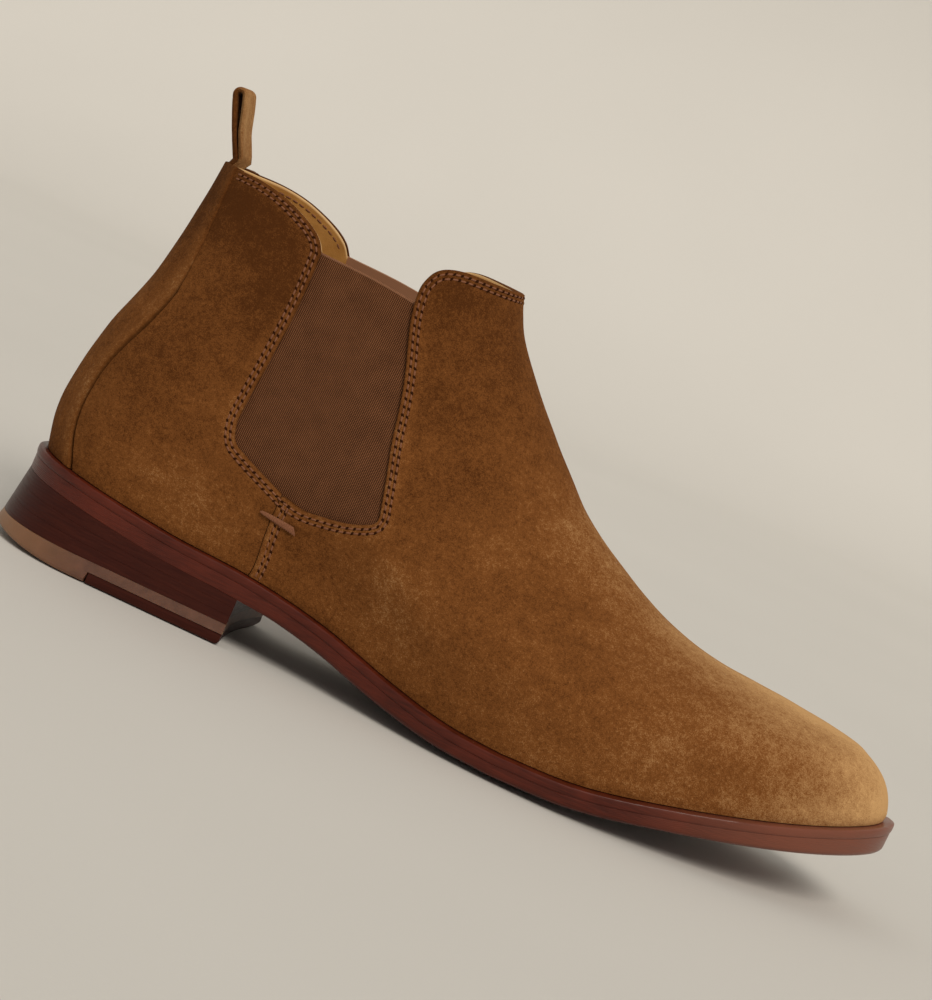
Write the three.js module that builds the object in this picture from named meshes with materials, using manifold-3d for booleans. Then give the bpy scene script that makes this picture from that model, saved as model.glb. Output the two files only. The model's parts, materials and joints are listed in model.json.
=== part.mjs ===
// A suede chelsea boot for the right foot, about EU 42 1/2, built up the way a bootmaker builds it:
// sole, heel stack, stiffeners, linings, elastic gussets and suede panels, each a piece of its own.
//
// Frame, in millimetres: +X runs from heel to toe, +Y is the inner (medial) side, +Z is up. The heel
// and the ball of the sole stand on z = 0. The boot is built with x = 0 at the heel's rearmost point,
// and the last step moves the whole of it, so that the origin is the middle of the heel's tread.
import * as THREE from 'three';
import { mergeVertices } from 'three/addons/utils/BufferGeometryUtils.js';
import Module from 'manifold-3d';

const wasm = await Module();
wasm.setup();

// ---- Driving dimensions ------------------------------------------------------------------------

const LAST_LENGTH = 296.5; // seam of upper and welt, from the back of the heel to the toe
const SHAFT_HEIGHT = 109.5; // welt to collar, at the back
const HEEL_PITCH = 14.8; // how much higher the upper sits at the heel breast than at the ball
const TOE_SPRING = 24; // rise of the toe over the ball

const HEEL_HALF = 30.5; // half widths of the last, along the seam with the welt
const WAIST_OUTER = 32.5;
const WAIST_INNER = 25;
const BALL_OUTER = 49.6;
const BALL_INNER = 47;
const TOE_HALF = 47.5; // half width that the toe's round closing starts from
const TOE_SWING = 6; // how far the toe turns towards the inner side
const COLLAR_HALF = 25;

const SUEDE = 1.4; // thicknesses of the upper's layers
const ELASTIC = 1;
const STIFFENER = 1;
const LINING = 0.9;
const CLEAR = 0.3; // gap that any two touching pieces keep
const PLY_GAP = 0.68; // gap between the curved layers of the upper, which are faceted

const WELT = 3.2; // sole layers
const WELT_INSET = 9; // how far the welt reaches in under the upper
const BAND_HEEL = 8; // welt and outsole together, at the edge
const BAND_BALL = 7.2;
const BAND_TOE = 8.4;
const CROWN = 1.5; // how much the middle of the forefoot is lower than its edge
const EDGE_HEEL = 2.4; // how far the sole stands out from the upper
const EDGE_WAIST = 2.8;
const EDGE_BALL = 4.2;
const EDGE_TOE = 3.6;
const INSOLE = 2.5;
const FOOTBED_INSET = 1.8; // how much smaller than the lined upper the insole is cut
const HEEL_PAD = 2;
const SOCK = 1;
const SHANK = { thick: 1.2, half: 7, from: 0.16, to: 0.5 };

const TOP_LIFT = 6.2; // rubber and leather wearing layer of the heel
const TOP_LIFT_STEP = 3.7; // depth of the leather insert in front of the rubber
const LIFTS = 3;
const HEEL_FLARE = 3.6; // how much further back the heel reaches at its bottom
const BREAST = 0.278; // front of the heel, as a share of the last's length
const BREAST_HOLLOW = 2.5;
const RUBBER_STEP = 0.117; // where the rubber stops and the leather insert starts
const TREAD_CENTRE = 0.2; // middle of the heel's flat tread, the origin of the finished boot
const NAIL = { radius: 0.8, length: 9.2, recess: 0.3 };

const TAB = { width: 16, height: 22.2, half: 2.5, slot: 0.7, slotFrom: 4.5, slotTo: 19.4, lean: 19 };
const TAB_ROOT = 21; // how deep the strap is sewn in below the collar

const BACK_INSET = EDGE_HEEL + HEEL_FLARE + 0.5; // x of the seam with the welt at the heel's back

// ---- Small helpers -------------------------------------------------------------------------------

const OUTER = -1; // the side that faces away from the other foot, at negative y
const INNER = 1;
const { lerp, clamp, smoothstep, degToRad } = THREE.MathUtils;

/** A smooth curve y(x) through [x, y] points, with straight ends. */
function profile(points) {
  const slope = (i) => {
    const a = points[Math.max(i - 1, 0)];
    const b = points[Math.min(i + 1, points.length - 1)];
    return (b[1] - a[1]) / (b[0] - a[0]);
  };
  const last = points.length - 1;
  return (x) => {
    if (x <= points[0][0]) return points[0][1] + slope(0) * (x - points[0][0]);
    if (x >= points[last][0]) return points[last][1] + slope(last) * (x - points[last][0]);
    let i = 0;
    while (points[i + 1][0] < x) i += 1;
    const [x0, y0] = points[i];
    const [x1, y1] = points[i + 1];
    const d = x1 - x0;
    const t = (x - x0) / d;
    const s = 1 - t;
    const bend = t * s * d * (slope(i) * s - slope(i + 1) * t);
    return y0 * s * s * (1 + 2 * t) + y1 * t * t * (1 + 2 * s) + bend;
  };
}

/** Evenly spaced numbers from a to b, both included. */
const steps = (a, b, count) => Array.from({ length: count + 1 }, (_, i) => lerp(a, b, i / count));

/** A four-sided patch of 2D points between curves that meet at its corners. */
function coons(left, right, bottom, top) {
  return (a, b) => {
    const l = left(b);
    const r = right(b);
    const lo = bottom(a);
    const hi = top(a);
    const mix = (k) => (1 - a) * l[k] + a * r[k] + (1 - b) * lo[k] + b * hi[k]
      - (1 - a) * ((1 - b) * left(0)[k] + b * left(1)[k])
      - a * ((1 - b) * right(0)[k] + b * right(1)[k]);
    return [mix('x'), mix('y')];
  };
}

/** A smooth curve through 2D points, followed by its length from 0 to 1. */
function along(points) {
  const curve = new THREE.SplineCurve(points);
  return (t) => curve.getPointAt(clamp(t, 0, 1));
}

/** Several curves one after another, each with its share of the whole. */
function joined(curves, shares) {
  return (t) => {
    let start = 0;
    for (let i = 0; i < curves.length; i += 1) {
      const end = start + shares[i];
      if (t <= end || i === curves.length - 1) return curves[i](clamp((t - start) / shares[i], 0, 1));
      start = end;
    }
    return null;
  };
}

// ---- The last: one smooth surface that every upper piece lies on ------------------------------------

const GRADE = LAST_LENGTH / 296.5; // the side pattern is drawn for this length, and graded from it
const BREAK = 60; // pattern heights above this one stretch with the shaft
const SHAFT_GRADE = (SHAFT_HEIGHT - BREAK) / (109.5 - BREAK);

const pitch = profile([
  [-0.05, 1.58], [0.06, 1.4], [0.18, 1.12], [0.28, 1], [0.37, 0.73], [0.47, 0.27], [0.54, 0.05], [0.6, 0],
]);
const spring = profile([[0.6, 0], [0.69, 0.06], [0.79, 0.29], [0.91, 0.65], [1.03, 1.09]]);

const shareAt = (x) => (x - BACK_INSET) / LAST_LENGTH;
const xAt = (share) => BACK_INSET + share * LAST_LENGTH;

/** Height of the welt's top, where the upper meets the sole. */
function seat(x) {
  const share = shareAt(x);
  const rise = HEEL_PITCH * (share < 0.6 ? pitch(share) : 0);
  return BAND_BALL + CROWN + rise + TOE_SPRING * (share > 0.6 ? spring(share) : 0);
}

/** A point of the side pattern: x along the last, h above the welt. */
function sidePoint([x, h]) {
  const world = BACK_INSET + x * GRADE;
  const height = h < BREAK ? h : BREAK + (h - BREAK) * SHAFT_GRADE;
  return new THREE.Vector2(world, seat(world) + height);
}

const backLine = along([
  [0, 0], [-2, 11.6], [-1.5, 24.6], [2.5, 45], [10, 68], [14.5, 92.3], [16.5, 109.5],
].map(sidePoint));
const ridgeLine = along([
  [296.5, 0], [296.7, 3], [294.5, 9], [290.5, 15], [284.5, 20.6], [276.5, 25.7], [253.5, 34.4],
  [228.5, 42.3], [210.5, 50], [194.5, 58.6], [173.5, 71.3], [161.5, 81], [143.5, 96.4],
  [129.5, 109.2], [124.5, 117], [122.5, 122.5],
].map(sidePoint));
const welted = (u) => new THREE.Vector2(xAt(u), seat(xAt(u)));
const collarLine = (u) => backLine(1).lerp(ridgeLine(1), u);

/** The last seen from the side: u runs from the back to the ridge, v from the welt to the collar. */
const sideView = coons(backLine, ridgeLine, welted, collarLine);

const weltHalf = {
  [OUTER]: profile([
    [0, HEEL_HALF], [0.2, HEEL_HALF + 1], [0.36, WAIST_OUTER], [0.45, lerp(WAIST_OUTER, BALL_OUTER, 0.3)],
    [0.54, lerp(WAIST_OUTER, BALL_OUTER, 0.72)], [0.66, BALL_OUTER], [0.8, TOE_HALF], [1, TOE_HALF],
  ]),
  [INNER]: profile([
    [0, HEEL_HALF], [0.15, HEEL_HALF - 0.5], [0.36, WAIST_INNER], [0.45, lerp(WAIST_INNER, BALL_INNER, 0.17)],
    [0.54, lerp(WAIST_INNER, BALL_INNER, 0.5)], [0.69, BALL_INNER], [0.8, TOE_HALF], [1, TOE_HALF],
  ]),
};
const fullness = {
  [OUTER]: profile([[0, 3.5], [0.2, 4], [0.4, 4.5], [0.7, 3], [1, 2]]),
  [INNER]: profile([[0, 3.5], [0.2, 4.5], [0.4, 8.5], [0.6, 5], [0.8, 3], [1, 2]]),
};
const backRound = profile([[0, 0.108], [0.2, 0.13], [0.45, 0.175], [0.7, 0.25], [1, 0.38]]);
const ridgeRound = profile([[0, 0.3], [0.2, 0.35], [0.45, 0.42], [1, 0.42]]);

/** How the surface closes over the back and the ridge: 0 on the line, 1 where it runs straight. */
function closing(distance, reach, power) {
  const t = clamp(distance / reach, 0, 1);
  return Math.sqrt(1 - (1 - t) ** power);
}

/** Half width of the last on one side. */
function halfWidth(side, u, v) {
  const body = lerp(weltHalf[side](u), COLLAR_HALF, smoothstep(v, 0, 1));
  const full = fullness[side](u) * 4 * v * (1 - v);
  const toeFull = 2 + 0.6 * smoothstep(v, 0, 0.12);
  return (body + full) * closing(u, backRound(v), 2) * closing(1 - u, ridgeRound(v), toeFull);
}

/**
 * A point of the last. q runs round it: 0 is the back, 0 to 1 the outer side, 1 the ridge,
 * 1 to 2 the inner side; below 0 it is the inner side again, seen from the back.
 */
function lastPoint(q, v) {
  const side = q < 0 || q > 1 ? INNER : OUTER;
  const p = q < 0 ? -q : q > 1 ? 2 - q : q;
  const u = Math.sin(p * Math.PI / 2) ** 2;
  const [x, z] = sideView(u, v);
  const swing = TOE_SWING * smoothstep(u, 0.45, 1.1) * (1 - 0.7 * v);
  return new THREE.Vector3(x, swing + side * halfWidth(side, u, v), z);
}

/** A point of the last moved out along its normal, and kept clear above the welt. */
function lastOffset(q, v, out) {
  const d = 1e-3;
  const point = lastPoint(q, v);
  const across = lastPoint(q + d, v).sub(lastPoint(q - d, v));
  const up = lastPoint(q, Math.min(v + d, 1)).sub(lastPoint(q, Math.max(v - d, 0)));
  point.addScaledVector(across.cross(up).normalize(), out);
  point.z = Math.max(point.z, seat(point.x) + CLEAR);
  return point;
}

/** Turns a point of the side pattern into (q, v) on the outer side. */
function lay(pattern) {
  const target = sidePoint(pattern);
  let u = 0.4;
  let v = 0.4;
  const step = 0.08;
  for (let i = 0; i < 80; i += 1) {
    const d = 1e-5;
    const [x, z] = sideView(u, v);
    const [xu, zu] = sideView(u + d, v);
    const [xv, zv] = sideView(u, v + d);
    const a = (xu - x) / d;
    const b = (xv - x) / d;
    const c = (zu - z) / d;
    const e = (zv - z) / d;
    const det = a * e - b * c;
    const dx = target.x - x;
    const dz = target.y - z;
    u = clamp(u + clamp((e * dx - b * dz) / det, -step, step), 0.001, 0.999);
    v = clamp(v + clamp((a * dz - c * dx) / det, -step, step), 0, 1);
  }
  return new THREE.Vector2(2 / Math.PI * Math.asin(Math.sqrt(u)), v);
}

const laid = (points) => along(points.map(lay));

/** How many rows of facets a piece as tall as the shaft gets, each about as tall as told. */
const shaftRows = (height) => Math.ceil(SHAFT_HEIGHT / height);

// ---- Meshes ------------------------------------------------------------------------------------------

/** A closed geometry from vertices and faces, without the faces that have shrunk to nothing. */
function solid(vertices, faces) {
  const geometry = new THREE.BufferGeometry();
  const positions = vertices.flatMap((p) => p.toArray());
  geometry.setAttribute('position', new THREE.Float32BufferAttribute(positions, 3));
  geometry.setIndex(faces);
  const merged = mergeVertices(geometry, 1e-3);
  const index = merged.index.array;
  const kept = [];
  for (let i = 0; i < index.length; i += 3) {
    const [a, b, c] = [index[i], index[i + 1], index[i + 2]];
    if (a !== b && b !== c && c !== a) kept.push(a, b, c);
  }
  merged.setIndex(kept);
  merged.computeVertexNormals();
  return merged;
}

/** A sheet of some thickness between two grids of points, closed round its rim. */
function sheet(front, back) {
  const columns = front.length;
  const rows = front[0].length;
  const vertices = [...front.flat(), ...back.flat()];
  const faces = [];
  const at = (layer, i, j) => layer * columns * rows + i * rows + j;
  const quad = (a, b, c, d) => faces.push(a, b, c, a, c, d);
  for (let i = 0; i < columns - 1; i += 1) {
    for (let j = 0; j < rows - 1; j += 1) {
      quad(at(0, i, j), at(0, i + 1, j), at(0, i + 1, j + 1), at(0, i, j + 1));
      quad(at(1, i, j), at(1, i, j + 1), at(1, i + 1, j + 1), at(1, i + 1, j));
    }
    quad(at(1, i, 0), at(1, i + 1, 0), at(0, i + 1, 0), at(0, i, 0));
    quad(at(0, i, rows - 1), at(0, i + 1, rows - 1), at(1, i + 1, rows - 1), at(1, i, rows - 1));
  }
  for (let j = 0; j < rows - 1; j += 1) {
    quad(at(1, 0, j + 1), at(1, 0, j), at(0, 0, j), at(0, 0, j + 1));
    quad(at(0, columns - 1, j + 1), at(0, columns - 1, j), at(1, columns - 1, j), at(1, columns - 1, j + 1));
  }
  return solid(vertices, faces);
}

/** A sheet laid on the last over a grid of (q, v), between two distances from its surface. */
function panel(grid, outside, inside) {
  const lift = (out) => grid.map((column) => column.map(([q, v]) => lastOffset(q, v, out)));
  return sheet(lift(outside), lift(inside));
}

/** Samples a patch of (q, v) into columns and rows. */
function sampled(patch, columns, rows) {
  return steps(0, 1, columns).map((a) => steps(0, 1, rows).map((b) => patch(a, b)));
}

/** The same grid on the inner side, joined to the outer one along the ridge or along the back. */
function mirrored(grid, line) {
  const copy = grid.map((column) => column.map(([q, v]) => [line === 'ridge' ? 2 - q : -q, v]));
  const reversed = copy.reverse();
  return line === 'ridge' ? [...grid, ...reversed.slice(1)] : [...reversed.slice(0, -1), ...grid];
}

/** A piece of the outer side turned into its twin on the inner side. */
const twin = (grid) => grid.map((column) => column.map(([q, v]) => [2 - q, v])).reverse();

// ---- The sole's outline -------------------------------------------------------------------------------

const edge = profile([
  [0, EDGE_HEEL], [0.25, EDGE_HEEL], [0.38, EDGE_WAIST], [0.6, EDGE_BALL], [0.85, EDGE_BALL], [1, EDGE_TOE],
]);
const band = profile([
  [0, BAND_HEEL], [0.28, BAND_HEEL], [0.6, BAND_BALL], [0.75, BAND_BALL + 0.3], [1, BAND_TOE],
]);

/** A point of the upper's bottom seam moved out in plan. p is 0 at the heel's back and 1 at the toe. */
function outline(side, p, out) {
  const d = 1e-3;
  const q = (t) => (side === OUTER ? t : 2 - t);
  const here = lastPoint(q(p), 0);
  const run = lastPoint(q(p + d), 0).sub(lastPoint(q(p - d), 0));
  if (p < d) run.set(0, side, 0);
  if (p > 1 - d) run.set(0, -side, 0);
  run.setZ(0).normalize();
  return new THREE.Vector2(here.x - side * run.y * out, here.y + side * run.x * out);
}

/** Height of the outsole's underside. */
function underside(x, y) {
  const share = shareAt(x);
  const middle = TOE_SWING * smoothstep(share, 0.45, 1.1);
  const half = 0.5 * (BALL_OUTER + BALL_INNER);
  const bow = CROWN * smoothstep(share, 0.3, 0.48) * Math.max(0, 1 - ((y - middle) / half) ** 2);
  return seat(x) - band(share) - bow;
}

const soleStations = steps(0, 1, 32);
const footbedStations = steps(0, 1, 24);
const breastP = 2 / Math.PI * Math.asin(Math.sqrt(BREAST));
const stepP = 2 / Math.PI * Math.asin(Math.sqrt(RUBBER_STEP));

/** A flat layer of the sole: rings from its underside up, each with its own edge and height. */
function layer(rings, stations, columns, hollow = 0) {
  const grid = (ring) => stations.map((p) => steps(0, 1, columns).map((t) => {
    const share = Math.sin(p * Math.PI / 2) ** 2;
    const out = ring.out(share);
    const point = outline(OUTER, p, out).lerp(outline(INNER, p, out), t);
    point.x -= hollow * 4 * t * (1 - t) * smoothstep(share, BREAST - 0.07, BREAST);
    return new THREE.Vector3(point.x, point.y, ring.height(point.x, point.y));
  }));
  const grids = rings.map(grid);
  const rows = columns + 1;
  const size = stations.length * rows;
  const faces = [];
  const at = (k, i, j) => k * size + i * rows + j;
  const quad = (a, b, c, d) => faces.push(a, b, c, a, c, d);
  const top = grids.length - 1;
  const end = stations.length - 1;
  for (let i = 0; i < end; i += 1) {
    for (let j = 0; j < columns; j += 1) {
      quad(at(top, i, j), at(top, i + 1, j), at(top, i + 1, j + 1), at(top, i, j + 1));
      quad(at(0, i, j), at(0, i, j + 1), at(0, i + 1, j + 1), at(0, i + 1, j));
    }
  }
  for (let k = 0; k < top; k += 1) {
    for (let i = 0; i < end; i += 1) {
      quad(at(k, i, 0), at(k, i + 1, 0), at(k + 1, i + 1, 0), at(k + 1, i, 0));
      quad(at(k, i + 1, columns), at(k, i, columns), at(k + 1, i, columns), at(k + 1, i + 1, columns));
    }
    for (let j = 0; j < columns; j += 1) {
      quad(at(k, end, j), at(k, end, j + 1), at(k + 1, end, j + 1), at(k + 1, end, j));
      quad(at(k, 0, j + 1), at(k, 0, j), at(k + 1, 0, j), at(k + 1, 0, j + 1));
    }
  }
  const used = new Map();
  const vertices = [];
  const all = grids.flat(2);
  const packed = faces.map((f) => {
    if (!used.has(f)) {
      used.set(f, vertices.length);
      vertices.push(all[f]);
    }
    return used.get(f);
  });
  return solid(vertices, packed);
}

/** A ring that runs all round the sole's outline, from a closed section of [out, rise] points. */
function strip(section) {
  const loop = [
    ...soleStations.map((p) => [OUTER, p]),
    ...soleStations.slice(1, -1).reverse().map((p) => [INNER, p]),
  ];
  const vertices = loop.flatMap(([side, p]) => {
    const share = Math.sin(p * Math.PI / 2) ** 2;
    return section(share).map(([out, rise]) => {
      const point = outline(side, p, out);
      return new THREE.Vector3(point.x, point.y, seat(point.x) + rise);
    });
  });
  const n = section(0).length;
  const faces = [];
  loop.forEach((_, i) => {
    const next = (i + 1) % loop.length;
    for (let j = 0; j < n; j += 1) {
      const k = (j + 1) % n;
      faces.push(i * n + j, next * n + j, next * n + k, i * n + j, next * n + k, i * n + k);
    }
  });
  return solid(vertices, faces);
}

// ---- Materials ---------------------------------------------------------------------------------------

const finish = (color, roughness, metalness = 0) => (
  new THREE.MeshStandardMaterial({ color, roughness, metalness }));
const suede = finish(0x7a4a24, 0.95);
const elastic = finish(0x5c3824, 0.85);
const lining = finish(0xc4965a, 0.6);
const board = finish(0xb08a5c, 0.9);
const cork = finish(0xa8794a, 0.95);
const soleLeather = finish(0x5a2c22, 0.4);
const heelLeather = finish(0x47281f, 0.45);
const rubber = finish(0x8a5a34, 0.5);
const steel = finish(0x9a9a98, 0.35, 1);
const brass = finish(0xb08d4a, 0.35, 1);
const thread = finish(0x4a2a24, 0.8);

const boot = new THREE.Group();

/** Adds one piece to the boot. */
function add(name, geometry, material) {
  const mesh = new THREE.Mesh(geometry, material);
  mesh.name = name;
  boot.add(mesh);
  return mesh;
}

// ---- The upper --------------------------------------------------------------------------------------

const SEAM = 82; // x of the side seam on the pattern, where the vamp meets the quarter
const SEAM_TOP = 28.4; // height at which the side seam meets the gusset
const GAP = CLEAR / 2; // what each of two panels gives up along their common seam

const gussetBack = (m) => [[59.5 - m, 42.3 - m / 2], [60.5 - m, 57], [61.5 - m, 71.3], [61.5 - m, 101.3]];
const gussetFront = (m) => [
  [113.5 + m, 40.5 - m / 2], [108.5 + m, 56.5], [102.5 + m, 78.3], [96.5 + m, 94.2], [94.5 + m, 101.9],
];
const gussetFoot = (m) => [
  [59.5 - m, 42.3 - m / 2], [61.5 - m / 2, 36.6 - m], [66.5, 33.8 - m], [SEAM, SEAM_TOP - m],
  [89.5, 27.6 - m], [97.5, 29.6 - m], [108.5, 34.5 - m], [112.8 + m / 2, 37.8 - m],
  [113.5 + m, 40.5 - m / 2],
];
const collarBack = [[23.5, 109.9], [33, 111], [42.5, 110.7], [52.5, 108.2], [58.5, 105], [61.5 - GAP, 101.3]];
const collarFront = [[94.5 + GAP, 101.9], [94.9, 107.6], [98.5, 112.2], [105.5, 115.6], [114.5, 118.7]];

const footStart = gussetFoot(0).slice(0, 4);
const footEnd = gussetFoot(0).slice(3);
const nudged = (points, dx, dh) => points.map(([x, h]) => [x + dx, h + dh]);

/** The outer side's half of the vamp: from the side seam and the gusset to the ridge. */
function vampHalf() {
  const seam = laid([[SEAM + GAP, 0], [SEAM + GAP, SEAM_TOP / 2], [SEAM + GAP, SEAM_TOP - GAP]]);
  const foot = laid(nudged(footEnd, GAP, -GAP));
  const front = laid(nudged(gussetFront(0), GAP, 0));
  const left = joined([seam, foot, front], [0.17, 0.23, 0.6]);
  const collar = laid(collarFront);
  const top = joined([collar, (t) => collar(1).lerp(new THREE.Vector2(1, 1), t)], [0.7, 0.3]);
  const right = (b) => new THREE.Vector2(1, b ** 1.25);
  const bottom = (a) => new THREE.Vector2(lerp(left(0).x, 1, a), 0);
  return coons(left, right, bottom, top);
}

/** The outer side's half of everything behind the side seam, from one edge near the back. */
function quarterHalf(backEdge) {
  const seam = laid([[SEAM - GAP, 0], [SEAM - GAP, SEAM_TOP / 2], [SEAM - GAP, SEAM_TOP - GAP]]);
  const foot = laid(nudged(footStart, -GAP, -GAP).reverse());
  const back = laid(nudged(gussetBack(0), -GAP, 0));
  const right = joined([seam, foot, back], [0.26, 0.22, 0.52]);
  const collar = laid(collarBack);
  const top = joined([(t) => backEdge(1).lerp(collar(0), t), collar], [0.3, 0.7]);
  const bottom = (a) => new THREE.Vector2(lerp(backEdge(0).x, right(0).x, a), 0);
  return coons(backEdge, right, bottom, top);
}

/** Front edge of the back strip: q at each height, with a flared foot and a narrow ankle. */
const stripEdge = profile([[0, 0.145], [0.12, 0.135], [0.3, 0.14], [0.5, 0.17], [0.7, 0.185], [1, 0.17]]);
const STRIP_GAP = 0.003; // half the gap at the back strip's edges, in q

function buildUpper() {
  const vamp = mirrored(sampled(vampHalf(), 13, shaftRows(3.9)), 'ridge');
  add('vamp', panel(vamp, 0, -SUEDE), suede);

  const quarterEdge = (b) => new THREE.Vector2(stripEdge(b) + STRIP_GAP, b);
  const quarter = sampled(quarterHalf(quarterEdge), 8, shaftRows(7));
  add('quarter_lateral', panel(quarter, 0, -SUEDE), suede);
  add('quarter_medial', panel(twin(quarter), 0, -SUEDE), suede);

  const strap = coons(
    (b) => new THREE.Vector2(0, b),
    (b) => new THREE.Vector2(stripEdge(b) - STRIP_GAP, b),
    (a) => new THREE.Vector2(lerp(0, stripEdge(0) - STRIP_GAP, a), 0),
    (a) => new THREE.Vector2(lerp(0, stripEdge(1) - STRIP_GAP, a), 1),
  );
  add('back_strip', panel(mirrored(sampled(strap, 4, shaftRows(7)), 'back'), 0, -SUEDE), suede);
}

const TUCK = 4.5; // how far the elastic runs in under the suede

function buildGussets() {
  const back = laid(gussetBack(TUCK));
  const front = laid(gussetFront(TUCK));
  const foot = laid(gussetFoot(TUCK));
  const gusset = sampled(coons(back, front, foot, (a) => back(1).lerp(front(1), a)), 10, shaftRows(8.5));
  const out = -SUEDE - PLY_GAP;
  add('gusset_lateral', panel(gusset, out, out - ELASTIC), elastic);
  add('gusset_medial', panel(twin(gusset), out, out - ELASTIC), elastic);
}

const PUFF = { from: 0.8, reach: 0.24 };
const COUNTER = { to: 0.27, height: 0.42 };
const liningOut = -SUEDE - Math.max(ELASTIC, STIFFENER) - 2 * PLY_GAP;

function buildStiffeners() {
  const out = -SUEDE - PLY_GAP;
  const point = (x, y) => new THREE.Vector2(x, y);
  const puffQ = 2 / Math.PI * Math.asin(Math.sqrt(PUFF.from));
  const puffCorner = point(lerp(puffQ, 1, 0.2), PUFF.reach * 0.62);
  const puff = coons(
    (b) => point(puffQ, 0).lerp(puffCorner, b),
    (b) => point(1, b * PUFF.reach),
    (a) => point(lerp(puffQ, 1, a), 0),
    (a) => point(lerp(puffCorner.x, 1, a), lerp(puffCorner.y, PUFF.reach, Math.sin(a * Math.PI / 2))),
  );
  add('toe_puff', panel(mirrored(sampled(puff, 8, 8), 'ridge'), out, out - STIFFENER), board);

  const counterQ = 2 / Math.PI * Math.asin(Math.sqrt(COUNTER.to));
  const wing = point(counterQ * 0.92, COUNTER.height * 0.4);
  const counter = coons(
    (b) => point(0, b * COUNTER.height),
    (b) => point(counterQ, 0).lerp(wing, b),
    (a) => point(a * counterQ, 0),
    (a) => point(a * wing.x, lerp(COUNTER.height, wing.y, smoothstep(a, 0, 1))),
  );
  add('heel_counter', panel(mirrored(sampled(counter, 8, 8), 'back'), out, out - STIFFENER), board);
}

function buildLinings() {
  const vamp = mirrored(sampled(vampHalf(), 14, shaftRows(3.9)), 'ridge');
  add('vamp_lining', panel(vamp, liningOut, liningOut - LINING), lining);
  const quarters = sampled(quarterHalf((b) => new THREE.Vector2(0, b)), 9, shaftRows(8.5));
  add('quarter_lining', panel(mirrored(quarters, 'back'), liningOut, liningOut - LINING), lining);
}

const TACK = { from: 78.5, to: 90, height: 20.5, half: 0.9, proud: 0.8, lift: 0.45 };

function buildBarTacks() {
  const corner = (x, h) => lay([x, TACK.height + h]);
  const side = (x0, h0, x1, h1) => (t) => corner(x0, h0).lerp(corner(x1, h1), t);
  const { from, to, half } = TACK;
  const tack = coons(
    side(from, -half * 0.5, from, half * 0.5),
    side(to, -half, to, half),
    side(from, -half * 0.5, to, -half),
    side(from, half * 0.5, to, half),
  );
  const grid = sampled(tack, 6, 2);
  add('bar_tack_lateral', panel(grid, TACK.lift + TACK.proud, TACK.lift), thread);
  add('bar_tack_medial', panel(twin(grid), TACK.lift + TACK.proud, TACK.lift), thread);
}

// ---- The pull tab: its sewn-in root, and the loop that swings above the collar ------------------------

function buildPullTab() {
  const out = -SUEDE - PLY_GAP;
  const top = backLine(1);
  const rootQ = 2 / Math.PI * Math.asin(Math.sqrt(
    backRound(1) * (1 - Math.sqrt(1 - (TAB.width / 2 / COLLAR_HALF) ** 2)),
  ));
  const rootV = 1 - TAB_ROOT / SHAFT_HEIGHT;
  const root = coons(
    (b) => new THREE.Vector2(0, lerp(rootV, 1, b)),
    (b) => new THREE.Vector2(rootQ, lerp(rootV, 1, b)),
    (a) => new THREE.Vector2(a * rootQ, rootV),
    (a) => new THREE.Vector2(a * rootQ, 1),
  );
  add('pull_tab_root', panel(mirrored(sampled(root, 3, 6), 'back'), out, out - ELASTIC), suede);

  const shape = new THREE.Shape();
  const rise = TAB.height - TAB.half;
  shape.absarc(0, 0, TAB.half, Math.PI, 2 * Math.PI);
  shape.absarc(0, rise, TAB.half, 0, Math.PI);
  const slot = new THREE.Path();
  slot.absarc(0, TAB.slotTo - TAB.slot, TAB.slot, Math.PI, 0, true);
  slot.absarc(0, TAB.slotFrom + TAB.slot, TAB.slot, 0, Math.PI, true);
  shape.holes.push(slot);
  const extrusion = { depth: TAB.width, bevelEnabled: false, curveSegments: 10 };
  const geometry = new THREE.ExtrudeGeometry(shape, extrusion);
  geometry.deleteAttribute('uv');
  geometry.deleteAttribute('normal');
  geometry.translate(0, 0, -TAB.width / 2);
  const loop = add('pull_tab', mergeVertices(geometry, 1e-3), suede);
  loop.position.set(top.x - out + ELASTIC / 2, 0, top.y + CLEAR + TAB.half);
  loop.rotation.set(Math.PI / 2, 0, 0);
  loop.rotateZ(degToRad(TAB.lean));
}

// ---- The sole and the heel ----------------------------------------------------------------------------

function buildWelt() {
  add('welt', strip((share) => {
    const out = edge(share);
    return [
      [-WELT_INSET, -WELT], [out - 0.2, -WELT], [out + 0.4, -WELT * 0.75], [out + 0.5, -WELT * 0.4],
      [out + 0.1, -WELT * 0.12], [out - 0.7, 0], [-WELT_INSET, 0],
    ];
  }), soleLeather);
}

function buildOutsole() {
  const rim = (out) => (share) => edge(share) + out;
  const top = (drop) => (x) => seat(x) - WELT - CLEAR - drop;
  add('outsole', layer([
    { out: rim(-2.4), height: underside },
    { out: rim(-0.8), height: (x, y) => underside(x, y) + 0.4 },
    { out: rim(0), height: (x, y) => underside(x, y) + 1.6 },
    { out: rim(0.1), height: top(0.9) },
    { out: rim(-0.5), height: top(0) },
  ], soleStations, 6), soleLeather);
}

/** A thin layer inside the boot: a flat piece as far in from the seam as told, between two heights. */
function inner(inset, low, high, stations) {
  return layer([
    { out: () => -inset, height: (x) => seat(x) + low(x) },
    { out: () => -inset, height: (x) => seat(x) + high(x) },
  ], stations, 1);
}

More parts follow.
